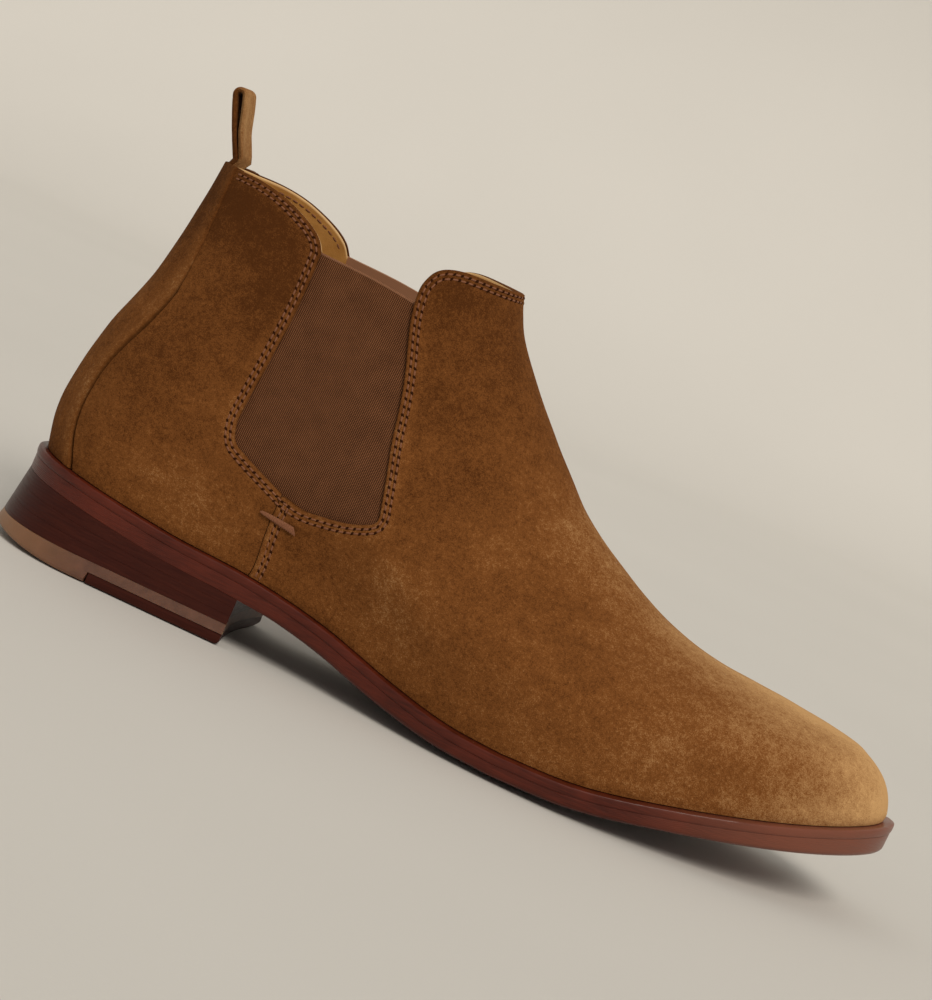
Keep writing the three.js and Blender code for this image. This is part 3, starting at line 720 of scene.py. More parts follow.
class Shader:
    """A node material that is built one node at a time."""

    def __init__(self, name: str) -> None:
        """Starts a material with a Principled surface.

        Args:
            name: the material's name.
        """
        self.material = bpy.data.materials.new(name)
        self.material.use_nodes = True
        self.tree = self.material.node_tree
        self.surface = self.tree.nodes["Principled BSDF"]
        self.place = self.add("ShaderNodeTexCoord").outputs["Object"]

    def add(self, kind: str, settings: Optional[dict] = None, **inputs: object) -> bpy.types.Node:
        """Adds a node.

        Args:
            kind: the node's type name.
            settings: properties of the node.
            inputs: values or sockets for its inputs; an underscore stands for a space, and i0, i1 and
                so on name an input by its number.

        Returns:
            The node.
        """
        node = self.tree.nodes.new(kind)
        for key, value in (settings or {}).items():
            setattr(node, key, value)
        for key, value in inputs.items():
            socket = node.inputs[int(key[1:]) if key[1:].isdigit() else key.replace("_", " ")]
            self.feed(socket, value)
        return node

    def feed(self, socket: bpy.types.NodeSocket, value: object) -> None:
        """Links a socket to another one, or gives it a plain value.

        Args:
            socket: the input.
            value: a socket, or the plain value.
        """
        if isinstance(value, bpy.types.NodeSocket):
            self.tree.links.new(value, socket)
        else:
            socket.default_value = value

    def value(self, name: str) -> bpy.types.NodeSocket:
        """The number that the mesh stores for each vertex under a name."""
        return self.add("ShaderNodeAttribute", {"attribute_name": name}).outputs["Fac"]

    def noise(self, size: float, detail: float = 3, rough: float = 0.55,
              where: object = None) -> bpy.types.NodeSocket:
        """Noise from 0 to 1.

        Args:
            size: about how wide its features are, in millimetres.
            detail: how many finer layers it has.
            rough: how strong the finer layers are.
            where: coordinates, or None for the object's own.

        Returns:
            The socket of its value.
        """
        node = self.add("ShaderNodeTexNoise", Vector=where or self.place, Scale=1 / (size * MM),
                        Detail=detail, Roughness=rough)
        return node.outputs["Fac"]

    def stretched(self, x: float, y: float, z: float) -> bpy.types.NodeSocket:
        """Object coordinates scaled along each axis, for patterns that run one way."""
        return self.add("ShaderNodeMapping", Vector=self.place, Scale=(x, y, z)).outputs["Vector"]

    def math(self, operation: str, a: object, b: object = 0.0) -> bpy.types.NodeSocket:
        """A sum, product or other operation on two numbers."""
        return self.add("ShaderNodeMath", {"operation": operation}, i0=a, i1=b).outputs[0]

    def between(self, value: object, low: float, high: float, to_low: float = 0.0,
                to_high: float = 1.0) -> bpy.types.NodeSocket:
        """Maps one range onto another, clamped.

        Args:
            value: the number that is mapped.
            low: the first range's start.
            high: its end.
            to_low: what low becomes.
            to_high: what high becomes.

        Returns:
            The socket of the result.
        """
        return self.add("ShaderNodeMapRange", Value=value, From_Min=low, From_Max=high, To_Min=to_low,
                        To_Max=to_high).outputs["Result"]

    def ramp(self, value: object, stops: Sequence[tuple[float, str]]) -> bpy.types.NodeSocket:
        """A colour read from a scale.

        Args:
            value: the place on the scale.
            stops: (position, hex colour) pairs.

        Returns:
            The socket of the colour.
        """
        node = self.add("ShaderNodeValToRGB", Fac=value)
        elements = node.color_ramp.elements
        while len(elements) < len(stops):
            elements.new(0.5)
        for element, (position, code) in zip(elements, stops):
            element.position = position
            element.color = color(code)
        return node.outputs["Color"]

    def blend(self, share: object, a: object, b: object) -> bpy.types.NodeSocket:
        """Two colours mixed.

        Args:
            share: how much of the second one shows.
            a: the first colour, as a socket or a hex code.
            b: the second colour.

        Returns:
            The socket of the mixed colour.
        """
        node = self.add("ShaderNodeMix", {"data_type": "RGBA"})
        for socket, value in zip((node.inputs[0], node.inputs[6], node.inputs[7]), (share, a, b)):
            self.feed(socket, color(value) if isinstance(value, str) else value)
        return node.outputs[2]

    def bump(self, height: object, depth: float, below: object = None) -> bpy.types.NodeSocket:
        """A bump.

        Args:
            height: its shape, from 0 to 1.
            depth: its full depth in millimetres.
            below: another bump that it lies on.

        Returns:
            The socket of the bumped normal.
        """
        node = self.add("ShaderNodeBump", Height=height, Distance=depth * MM, Strength=1.0)
        if below is not None:
            self.feed(node.inputs["Normal"], below)
        return node.outputs["Normal"]

    def finish(self, base: object, roughness: object, normal: object = None,
               **constants: object) -> bpy.types.Material:
        """Sets the surface's properties.

        Args:
            base: the colour.
            roughness: the roughness.
            normal: the bump, if any.
            constants: other inputs that are the same all over; an underscore stands for a space.

        Returns:
            The material.
        """
        self.feed(self.surface.inputs["Base Color"], color(base) if isinstance(base, str) else base)
        self.feed(self.surface.inputs["Roughness"], roughness)
        if normal is not None:
            self.feed(self.surface.inputs["Normal"], normal)
        for key, value in constants.items():
            self.surface.inputs[key.replace("_", " ")].default_value = value
        return self.material


@dataclass(frozen=True)
class Suede:
    """Napped calf suede. The cut fibres stand up, so that it has no shine, only a soft sheen where it is seen
    edge on; it is brushed into lighter and darker strokes. Its tone carries painted light as well as its own:
    a lighter toe, partly its nap and partly a painted highlight, painted shade by the welt and towards the
    collar, and a painted shadow along its cut edges."""

    name: str = "suede"
    dark: str = "#4C2A10"
    middle: str = "#7A4B24"
    light: str = "#C89E6B"
    stroke: float = 24.0
    mottle: float = 5.0
    clump: float = 1.3
    fibre: float = 0.34

    def make(self) -> bpy.types.Material:
        """Builds the material.

        Returns:
            The material.
        """
        s = Shader(self.name)
        # Strokes of the brush, a few millimetres to a finger wide, lie along the boot.
        brushed = s.stretched(0.55, 1.0, 1.15)
        strokes = s.noise(self.stroke, 4, 0.6, brushed)
        mottle = s.noise(self.mottle, 4, 0.62)
        clumps = s.noise(self.clump, 3, 0.6)
        # Real fibres are finer; they are drawn as tufts a third of a millimetre wide, so that they show.
        fibres = s.noise(self.fibre, 2, 0.6)
        tone = s.math("ADD", s.value("shade"), s.between(strokes, 0.25, 0.75, -0.1, 0.1))
        tone = s.math("ADD", tone, s.between(mottle, 0.25, 0.75, -0.09, 0.09))
        tone = s.math("ADD", tone, s.between(clumps, 0.25, 0.75, -0.12, 0.12))
        tone = s.math("ADD", tone, s.between(fibres, 0.25, 0.75, -0.2, 0.2))
        # The tone's dark end carries painted shade, and its light end the painted highlight on the toe.
        base = s.ramp(tone, [(0.0, self.dark), (0.38, self.middle), (1.0, self.light)])
        # Cut edges are painted darker: a painted shadow along each edge of the suede.
        base = s.blend(s.between(s.value("rim"), 0.0, 1.1, 0.42, 0.0), base, self.dark)
        soft = s.bump(mottle, 0.22)
        soft = s.bump(clumps, 0.3, soft)
        soft = s.bump(fibres, 0.17, soft)
        # The sheen stands for the nap: short fibres that catch light at a grazing angle.
        return s.finish(base, 0.95, soft, Specular_IOR_Level=0.05, Sheen_Weight=0.1, Sheen_Roughness=0.5,
                        Sheen_Tint=color("#B98450"))


@dataclass(frozen=True)
class Elastic:
    """Side elastic. Covered rubber cords stand side by side as upright ribs, a little over half a
    millimetre apart, held by fine cross threads, so that it looks finely striped and dry, with a painted
    highlight that makes the top of each rib a little paler, and painted shade between the ribs."""

    name: str = "elastic"
    # The darkest colour is painted shade between the ribs; the palest rib colour is a painted highlight on
    # their tops.
    valley_painted_shade: str = "#200E05"
    crest_painted_highlight: str = "#8C5C3C"
    # Painted paler colour: a highlight on the turned top, and light on the shaded inside.
    pale: str = "#A87A5C"
    pick: float = 0.5

    def make(self) -> bpy.types.Material:
        """Builds the material.

        Returns:
            The material.
        """
        s = Shader(self.name)
        rib = s.value("rib")
        # The cross threads bind the ribs every half millimetre and show as small steps on each rib.
        height = s.math("MULTIPLY", s.value("rise"), 2 * math.pi / self.pick)
        wobble = s.between(s.noise(0.9), 0.3, 0.7, -0.9, 0.9)
        picks = s.between(s.math("SINE", s.math("ADD", height, wobble)), -1, 1)
        fluff = s.noise(0.25, 2)
        patches = s.noise(6.0, 3)
        # The rib stripe is painted light: painted shade between the ribs and a painted highlight on their
        # tops.
        tone = s.math("MULTIPLY", rib, s.between(picks, 0, 1, 0.55, 1.05))
        tone = s.math("ADD", tone, s.between(fluff, 0.3, 0.7, -0.1, 0.1))
        tone = s.math("ADD", tone, s.between(patches, 0.3, 0.7, -0.06, 0.06))
        base = s.ramp(tone, [(0.0, self.valley_painted_shade), (0.55, "#573621"), (1.0, self.crest_painted_highlight)])
        # Its turned top and its inside are painted paler: a painted highlight along the fold of the top, and
        # painted light on the inside, which lies in shade.
        base = s.blend(s.math("MULTIPLY", s.value("hem"), 0.8), base, self.pale)
        normal = s.bump(fluff, 0.04, s.bump(picks, 0.06))
        return s.finish(base, 0.85, normal, Specular_IOR_Level=0.08, Sheen_Weight=0.05, Sheen_Roughness=0.4)


@dataclass(frozen=True)
class LiningLeather:
    """Vegetable tanned lining leather. Pale tan, smooth, with fine pores and a soft satin shine, and
    a raw paler edge."""

    name: str = "lining_leather"
    dark: str = "#9C6A30"
    light: str = "#C4914F"
    pore: float = 0.7

    def make(self) -> bpy.types.Material:
        """Builds the material.

        Returns:
            The material.
        """
        s = Shader(self.name)
        cells = s.add("ShaderNodeTexVoronoi", {"feature": "DISTANCE_TO_EDGE"}, Vector=s.place,
                      Scale=1 / (self.pore * MM))
        pores = s.between(cells.outputs["Distance"], 0.0, 0.12)
        clouds = s.noise(14, 4)
        base = s.ramp(clouds, [(0.3, self.dark), (0.7, self.light)])
        base = s.blend(s.between(pores, 0, 1, 0.25, 0.0), base, self.dark)
        base = s.blend(s.between(s.value("rim"), 0.2, 0.9, 0.6, 0.0), base, "#E2C08C")
        normal = s.bump(pores, 0.03, s.bump(clouds, 0.4))
        return s.finish(base, s.between(clouds, 0.3, 0.7, 0.42, 0.56), normal, Specular_IOR_Level=0.2)


@dataclass(frozen=True)
class EdgeLeather:
    """The welt's and the outsole's edge. Stained and waxed leather, burnished to a shine, so that it gives
    a narrow pinkish highlight along its rounded upper half; its lower half keeps fine lines."""

    name: str = "sole_leather"
    base: str = "#551F11"
    deep: str = "#3C140A"
    # Paler colour at the toe, partly wear and partly a painted highlight.
    pale: str = "#8A5744"
    lines: float = 0.55

    def make(self) -> bpy.types.Material:
        """Builds the material.

        Returns:
            The material.
        """
        s = Shader(self.name)
        rise = s.value("rise")
        # Fibre layers run round the edge as fine lines, half a millimetre apart, more marked low down.
        waver = s.between(s.noise(9, 3), 0.3, 0.7, -0.35, 0.35)
        lines = s.math("SINE", s.math("MULTIPLY", s.math("ADD", rise, waver), 2 * math.pi / self.lines))
        streaks = s.noise(1.0, 4, 0.6, s.stretched(0.12, 0.12, 1.6))
        mark = s.math("MULTIPLY", s.between(lines, -1, 1), s.value("worn"))
        base = s.ramp(streaks, [(0.3, self.deep), (0.7, self.base)])
        base = s.blend(s.math("MULTIPLY", mark, 0.18), base, self.deep)
        base = s.blend(s.between(s.noise(22, 3), 0.45, 0.75, 0.0, 0.4), base, "#6E2C1B")
        # Towards the toe the edge is paler and pinker: partly wear that takes the stain off, partly a painted
        # highlight where the edge faces the light.
        base = s.blend(s.math("MULTIPLY", s.value("toe"), 0.6), base, self.pale)
        normal = s.bump(streaks, 0.04, s.bump(mark, 0.04))
        return s.finish(base, s.between(streaks, 0.3, 0.7, 0.3, 0.42), normal, Specular_IOR_Level=0.22,
                        Coat_Weight=0.05, Coat_Roughness=0.15)


@dataclass(frozen=True)
class StackedLeather:
    """Heel leather. Discs of sole leather pressed together, stained dark red brown and lightly waxed,
    so that fine layers show along the sides under a satin shine."""

    name: str = "heel_leather"
    base: str = "#3E160B"
    deep: str = "#300E07"
    ply: float = 1.1

    def make(self) -> bpy.types.Material:
        """Builds the material.

        Returns:
            The material.
        """
        s = Shader(self.name)
        height = s.add("ShaderNodeSeparateXYZ", Vector=s.place).outputs["Z"]
        waver = s.between(s.noise(12, 3), 0.3, 0.7, -0.5 * MM, 0.5 * MM)
        turn = s.math("MULTIPLY", s.math("ADD", height, waver), 2 * math.pi / (self.ply * MM))
        layers = s.between(s.math("SINE", turn), -1, 1)
        streaks = s.noise(1.4, 4, 0.6, s.stretched(0.15, 0.15, 1.8))
        base = s.ramp(streaks, [(0.28, self.deep), (0.72, self.base)])
        base = s.blend(s.between(layers, 0.0, 0.35, 0.22, 0.0), base, self.deep)
        normal = s.bump(streaks, 0.03, s.bump(layers, 0.015))
        return s.finish(base, s.between(streaks, 0.3, 0.7, 0.34, 0.46), normal, Specular_IOR_Level=0.14,
                        Coat_Weight=0.03, Coat_Roughness=0.2)


@dataclass(frozen=True)
class Rubber:
    """Amber crepe-like rubber. Light goes a little way in, so that its edge glows warmer than its face, and
    it is dusty and slightly uneven; the rear of the heel is also painted paler, as if light shone through it."""

    name: str = "rubber"
    base: str = "#553526"
    light: str = "#6A4533"
    # A painted paler colour for the rear of the heel, as if light shone through it.
    painted_glow: str = "#9C7048"

    def make(self) -> bpy.types.Material:
        """Builds the material.

        Returns:
            The material.
        """
        s = Shader(self.name)
        clouds = s.noise(5, 4, 0.6)
        grit = s.noise(0.5, 2)
        base = s.ramp(clouds, [(0.3, self.base), (0.72, self.light)])
        base = s.blend(s.between(grit, 0.62, 0.75, 0.0, 0.4), base, "#5A3A20")
        # The rear of the heel is painted paler and warmer: painted light, as if it shone through from behind.
        along = s.add("ShaderNodeSeparateXYZ", Vector=s.place).outputs["X"]
        base = s.blend(s.between(along, -0.066, -0.025, 0.75, 0.0), base, self.painted_glow)
        return s.finish(base, 0.5, s.bump(grit, 0.05, s.bump(clouds, 0.15)), IOR=1.52, Subsurface_Weight=0.35,
                        Subsurface_Scale=0.003, Subsurface_Radius=(1.0, 0.5, 0.2))


@dataclass(frozen=True)
class Thread:
    """Waxed sewing thread, two plies twisted, a reddish brown near the suede's own, with a dull shine."""

    name: str = "thread"
    base: str = "#8E6044"
    dark: str = "#6A4230"

    def make(self) -> bpy.types.Material:
        """Builds the material.

        Returns:
            The material.
        """
        s = Shader(self.name)
        twist = s.noise(0.22, 2)
        base = s.ramp(twist, [(0.35, self.dark), (0.65, self.base)])
        return s.finish(base, 0.7, s.bump(twist, 0.05), Specular_IOR_Level=0.1, Sheen_Weight=0.03)


@dataclass(frozen=True)
class Granular:
    """A board, cork or foam: grains of one size in two tones, dry and matt, mostly hidden by the sole."""

    name: str
    dark: str
    light: str
    grain: float
    roughness: float = 0.9
    shine: float = 0.2

    def make(self) -> bpy.types.Material:
        """Builds the material.

        Returns:
            The material.
        """
        s = Shader(self.name)
        cells = s.add("ShaderNodeTexVoronoi", Vector=s.place, Scale=1 / (self.grain * MM))
        spots = s.add("ShaderNodeSeparateXYZ", Vector=cells.outputs["Color"]).outputs["X"]
        dust = s.noise(self.grain / 3, 3)
        grains = s.ramp(spots, [(0.1, self.dark), (0.8, self.light)])
        base = s.blend(s.between(dust, 0.3, 0.7), grains, self.light)
        return s.finish(base, self.roughness, s.bump(dust, 0.08, s.bump(spots, 0.1)),
                        Specular_IOR_Level=self.shine)


@dataclass(frozen=True)
class Metal:
    """Bare metal: drawn steel or brass, with fine lines along it and duller patches."""

    name: str
    base: str
    dull: str
    roughness: float = 0.3

    def make(self) -> bpy.types.Material:
        """Builds the material.

        Returns:
            The material.
        """
        s = Shader(self.name)
        lines = s.noise(0.3, 3, 0.6, s.stretched(0.05, 1.0, 1.0))
        patches = s.noise(2.5, 3)
        base = s.ramp(patches, [(0.35, self.dull), (0.6, self.base)])
        return s.finish(base, s.between(lines, 0.3, 0.7, self.roughness, self.roughness + 0.18),
                        s.bump(lines, 0.01), Metallic=1.0, Anisotropic=0.3)


@dataclass
class Materials:
    """Every finish on the boot, by the name of its slot."""

    made: dict[str, bpy.types.Material] = field(default_factory=dict)

    def build(self) -> None:
        """Makes each material once."""
        finishes = [
            Suede(), Elastic(), LiningLeather(), EdgeLeather(), StackedLeather(), Rubber(), Thread(),
            Granular("leatherboard", "#8A6A44", "#B8946A", 0.6),
            Granular("cork", "#7A5028", "#BA8A54", 1.4),
            Granular("foam", "#B8AA88", "#D8CCAE", 0.4, 0.95),
            # The shadow in a needle's hole: dark leather with no shine at all.
            Granular("hole", "#26130A", "#341C0E", 0.4, 1.0, 0.0),
            Metal("steel", "#A8A8A6", "#77787A"),
            Metal("brass", "#B8924E", "#7C5C2C"),
        ]
        for finish in finishes:
            self.made[finish.name] = finish.make()

    def put(self, obj: bpy.types.Object, slot: str) -> None:
        """Gives a piece its material.

        Args:
            obj: the piece.
            slot: its finish.
        """
        obj.data.materials.clear()
        obj.data.materials.append(self.made[slot])


# ---- The boot's shared parts ------------------------------------------------------------------------


@dataclass
class Shop:
    """What every sub-assembly needs: the last, the materials and the frame's bodies."""

    last: Last
    materials: Materials
    body: str = "boot"

    def done(self, obj: bpy.types.Object, slot: str, *nodes: str) -> bpy.types.Object:
        """Finishes a piece.

        Args:
            obj: the piece.
            slot: its finish.
            nodes: the solids that it stands for.

        Returns:
            The same piece.
        """
        self.materials.put(obj, slot)
        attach(obj, self.body)
        if nodes:
            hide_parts(*nodes)
        LOG.info("%s: %d vertices", obj.name, len(obj.data.vertices))
        return obj


@dataclass
class Pattern:
    """The cut lines of the upper, as points of the side pattern: x along the last, height over the welt.

    The vamp's and the quarter's edges are joined from a seam, a foot and a side, and their tops from the
    collar and a straight stretch, each with its share of the whole.
    """

    last: Last
    seam: float = 82.0
    seam_top: float = 28.4
    gap: float = 0.15
    rib_lean: float = 0.03
    vamp_shares: tuple[float, ...] = (0.17, 0.23, 0.6)
    quarter_shares: tuple[float, ...] = (0.26, 0.22, 0.52)
    collar_shares: tuple[float, ...] = (0.7, 0.3)

    def gusset_back(self, m: float = 0) -> list:
        """The gusset's rear edge, moved out by m."""
        return [[59.5 - m, 42.3 - m / 2], [60.5 - m, 57], [61.5 - m, 71.3], [61.5 - m, 101.3]]

    def gusset_front(self, m: float = 0) -> list:
        """The gusset's front edge, moved out by m."""
        return [[113.5 + m, 40.5 - m / 2], [108.5 + m, 56.5], [102.5 + m, 78.3], [96.5 + m, 94.2],
                [94.5 + m, 101.9]]

    def gusset_foot(self, m: float = 0) -> list:
        """The gusset's rounded foot, from back to front.

        Args:
            m: how far it is moved out, in millimetres.

        Returns:
            Side pattern points.
        """
        return [[59.5 - m, 42.3 - m / 2], [61.5 - m / 2, 36.6 - m], [66.5, 33.8 - m],
                [self.seam, self.seam_top - m], [89.5, 27.6 - m], [97.5, 29.6 - m], [108.5, 34.5 - m],
                [112.8 + m / 2, 37.8 - m], [113.5 + m, 40.5 - m / 2]]

    def seam_line(self, dx: float, top: float = 0.0) -> Curve:
        """The side seam, moved along by dx."""
        x, high = self.seam + dx, self.seam_top + top
        return self.last.laid([[x, 0], [x, high / 2], [x, high]])

    def collar_back(self) -> Curve:
        """The collar behind the gusset."""
        g = self.gap
        return self.last.laid([[23.5, 109.9], [33, 111], [42.5, 110.7], [52.5, 108.2], [58.5, 105],
                               [61.5 - g, 101.3]])

    def collar_front(self) -> Curve:
        """The collar in front of the gusset."""
        g = self.gap
        return self.last.laid([[94.5 + g, 101.9], [94.7, 108.6], [97.8, 114.4], [104.5, 118.0],
                               [114.5, 120.4]])

    def collar_to_ridge(self) -> Curve:
        """The collar in front of the gusset, and on to the ridge."""
        collar = self.collar_front()
        end = collar(np.array([1.0]))[0]
        return joined([collar, straight(end, (1, 1))], self.collar_shares)

    def vamp_edge(self) -> Curve:
        """The vamp's rear edge: the side seam, the gusset's foot and its front."""
        g = self.gap
        foot = self.last.laid([[x + g, h - g] for x, h in self.gusset_foot()[3:]])
        front = self.last.laid([[x + g, h] for x, h in self.gusset_front()])
        return joined([self.seam_line(g, -g), foot, front], self.vamp_shares)

    def quarter_edge(self) -> Curve:
        """The quarter's front edge: the side seam, the gusset's foot and its back."""
        g = self.gap
        foot = self.last.laid([[x - g, h - g] for x, h in self.gusset_foot()[3::-1]])
        back = self.last.laid([[x - g, h] for x, h in self.gusset_back()])
        return joined([self.seam_line(-g, -g), foot, back], self.quarter_shares)

    def vamp(self, a: Array, b: Array) -> Array:
        """The outer half of the vamp, from its rear edge to the ridge.

        Args:
            a: shares across it.
            b: shares up it.

        Returns:
            (len(a), len(b), 2) points (q, v).
        """
        left, top = self.vamp_edge(), self.collar_to_ridge()
        start = left(np.array([0.0]))[0, 0]
        bottom = lambda t: np.stack([start + (1 - start) * t, 0 * t], -1)
        right = lambda t: np.stack([np.ones_like(t), t**1.25], -1)
        return coons(left, right, bottom, top, a, b)

    def quarter(self, rear: Curve, a: Array, b: Array) -> Array:
        """The outer quarter.

        Args:
            rear: q of its rear edge at each share of its height.
            a: shares across it.
            b: shares up it.

        Returns:
            (len(a), len(b), 2) points (q, v).
        """
        right, collar = self.quarter_edge(), self.collar_back()
        left = lambda t: np.stack([rear(t), np.asarray(t, float)], -1)
        begin = collar(np.array([0.0]))[0]
        fold = straight(left(np.array([1.0]))[0], begin)
        top = joined([fold, collar], self.collar_shares[::-1])
        low, high = left(np.array([0.0]))[0, 0], right(np.array([0.0]))[0, 0]
        bottom = lambda t: np.stack([low + (high - low) * t, 0 * t], -1)
        return coons(left, right, bottom, top, a, b)

    def gusset(self, m: float, x: Array, b: Array) -> Array:
        """The outer gusset with its tucked margin of m.

        Args:
            m: how far it reaches under the suede.
            x: where its ribs stand, along the boot.
            b: shares up each rib, from the foot to the top or to the front edge.

        Returns:
            (len(x), len(b), 2) points (q, v).
        """
        foot = profile(self.gusset_foot(m))
        front = profile(self.gusset_front(m)[::-1])
        (x0, h0), (x1, h1) = self.gusset_back(m)[-1], self.gusset_front(m)[-1]
        top = np.where(x < x1, h0 + (h1 - h0) * (x - x0) / (x1 - x0), np.minimum(front(x), h1))
        low = foot(x)
        height = low[:, None] + np.maximum(top - low, 0.4)[:, None] * b[None]
        lean = (height - h0) * self.rib_lean
        flat = np.stack([(x[:, None] + lean).ravel(), height.ravel()], -1)
        return self.last.lay(flat).reshape(len(x), len(b), 2)


def mirrored(points: Array, fold: Fold = Fold.RIDGE) -> Array:
    """Points (q, v) on the other side of the ridge or of the back."""
    return np.stack([fold.value - points[..., 0], points[..., 1]], -1)


def other_side(grid: Array, fold: Fold = Fold.RIDGE) -> Array:
    """A grid of (q, v) on the inner side, with its columns in turned order."""
    return mirrored(grid[::-1], fold)


# ---- The upper -----------------------------------------------------------------------------------


@dataclass
class Upper:
    """The suede panels, the elastic gussets and the linings, with their stitches.

    Sizes are in millimetres; a hole has a length, a width and a depth, and its slant is in degrees.
    """

    shop: Shop
    suede: float = 1.4
    folded: float = 2.5
    fold_depth: float = 9.0
    edge_round: float = 0.5
    lap: float = 0.65
    lap_reach: float = 7.0
    elastic_out: float = -1.6
    elastic: float = 1.1
    rib: float = 0.62
    rib_height: float = 0.14
    tuck: float = 4.5
    hem: float = 0.9
    lining_out: float = -2.6
    lining: float = 0.9
    pitch: float = 2.6
    stitch: float = 2.0
    thread: float = 0.62
    hole: tuple[float, float, float] = (1.35, 0.85, 0.34)
    hole_slant: float = 28.0
    lining_row: float = 2.2
    rows: tuple[float, float] = (1.4, 2.95)
    seam_rows: tuple[float, float] = (1.9, 3.45)
    strip_gap: float = 0.003
    # How much lighter the suede is painted near its edges: a painted highlight.
    edge_highlight: float = 0.14

    def __post_init__(self) -> None:
        """Sets up the pattern and the back strip's edge."""
        self.last = self.shop.last
        self.pattern = Pattern(self.last)
        self.strip_edge = profile([[0, 0.145], [0.12, 0.135], [0.3, 0.14], [0.5, 0.17], [0.7, 0.185],
                                   [1, 0.17]])

    def build(self) -> None:
        """Makes every piece of the upper."""
        self.build_vamp()
        self.build_quarters()
        self.build_strip()
        self.build_gussets()
        self.build_linings()
        self.build_stitches()
        self.build_tacks()

    def shade(self, points: Array, q: Array, v: Array) -> Array:
        """The suede's tone, partly its nap and partly painted light: a painted highlight on the toe's top
        and along the ridge, a little lighter low down at the toe, painted shade just above the welt and
        towards the collar, and a small random unevenness.

        Args:
            points: places in millimetres.
            q: their way round.
            v: their shares from the welt to the collar.

        Returns:
            A tone for each, near 0 where it is dark and near 1 where it is light.
        """
        share = self.last.share_at(points[..., 0])
        height = points[..., 2] - self.last.seat(points[..., 0])
        ridge = np.clip(1 - np.abs(q - 1) / 0.55, 0, 1)
        toe = eased(share, 0.46, 1.0)
        # Partly the nap's own, partly a painted highlight on the toe's top and the ridge, where the light
        # falls.
        tone = 0.2 + 0.96 * toe * ridge**3 + 0.13 * ridge * (1 - toe)
        tone += 0.16 * toe * (1 - eased(height, 3, 17)) + 0.06 * (1 - toe) * (1 - eased(height, 14, 40))
        # Painted shade just above the welt.
        tone -= 0.06 * (1 - eased(height, 0, 6)) * (1 - 0.4 * toe)
        # Painted shade towards the collar.
        tone -= 0.24 * eased(v, 0.6, 0.95) * (1 - 0.4 * ridge)
        return tone + 0.05 * ripple(points, 7, 46)

    def slack(self, points: Array, v: Array) -> Array:
        """Small unevenness of leather pulled over a last: hollows and swells of up to a third of a
        millimetre, and none at the welt.

        Args:
            points: places in millimetres.
            v: their shares from the welt to the collar.

        Returns:
            How far each stands out, in millimetres.
        """
        return 0.14 * ripple(points, 3, 34) * eased(v, 0.0, 0.12) + 0.05 * ripple(points, 5, 13)

    def panel(self, name: str, grid: Array, edges: Sequence[Array],
              lap: Sequence[Array] = ()) -> bpy.types.Object:
        """A suede panel laid on the last, with rounded cut edges.

        Args:
            name: the object's name.
            grid: (columns, rows, 2) of (q, v).
            edges: its free edges, as dense lines of (q, v).
            lap: the edges where it lies on top of its neighbour.

        Returns:
            The object.
        """
        q, v = grid[..., 0], grid[..., 1]
        on = self.last.point(q, v)
        rim = distance_to(on, self.last.point(*np.concatenate(edges).T))
        t = np.clip(rim / self.edge_round, 0, 1)
        out = self.slack(on, v) - self.edge_round * (1 - np.sqrt(np.maximum(0, 1 - (1 - t) ** 2)))
        if len(lap):
            over = distance_to(on, self.last.point(*np.concatenate(lap).T))
            out = out + self.lap * (1 - eased(over, 0.4, self.lap_reach))
        front = self.last.place(self.last.offset(q, v, out))
        back = self.last.place(self.last.offset(q, v, -self.collar_fold(v)))
        obj = sheet_mesh(name, front, back, 50)
        # Along its folded and cut edges the suede is painted lighter, a painted highlight on the raised
        # edges;
        # its inner face takes a tone 0.15 lower.
        tone = self.shade(on, q, v) + self.edge_highlight * (1 - eased(rim, 0.8, 8))
        put_values(obj, "shade", np.concatenate([tone.ravel(), tone.ravel() - 0.15]))
        put_values(obj, "rim", np.concatenate([rim.ravel(), np.zeros(rim.size)]))
        return obj

    def collar_fold(self, v: Array) -> Array:
        """Thickness near the collar, where the suede is folded in over itself."""
        reach = self.fold_depth / self.last.collar_rise
        return self.suede + (self.folded - self.suede) * eased(v, 1 - reach, 1 - reach * 0.3)

    def line(self, curve: Curve, count: int = 400, start: float = 0.0, end: float = 1.0) -> Array:
        """A pattern curve as a dense line of (q, v), from one share of it to another."""
        return curve(np.linspace(start, end, count))

    def top_shares(self, count: int) -> Array:
        """Rows up a panel, crowded under the collar."""
        return np.concatenate([np.linspace(0, 0.985, count), [0.989, 0.9925, 0.995, 0.997, 0.9985, 1.0]])

    def edge_shares(self, count: int) -> Array:
        """Columns across a panel, crowded at its cut edge."""
        return np.concatenate([[0, 0.0015, 0.0035, 0.006, 0.01, 0.016], np.linspace(0.024, 1, count)])

    def build_vamp(self) -> None:
        """One piece over the toe and the instep, folded along the ridge."""
        half = self.pattern.vamp(self.edge_shares(110), self.top_shares(150))
        grid = np.concatenate([half, other_side(half)[1:]])
        edge, collar = self.line(self.pattern.vamp_edge()), half[:, -1]
        seam = self.line(self.pattern.seam_line(self.pattern.gap))
        edges = [edge, collar, mirrored(edge), mirrored(collar)]
        obj = self.panel("Vamp", grid, edges, [seam, mirrored(seam)])
        self.shop.done(obj, "suede", "vamp")

    def build_quarters(self) -> None:
        """The two panels between the back strip and the gussets."""
        rear = lambda b: self.strip_edge(b) + self.strip_gap
        half = self.pattern.quarter(rear, self.edge_shares(80), self.top_shares(110))
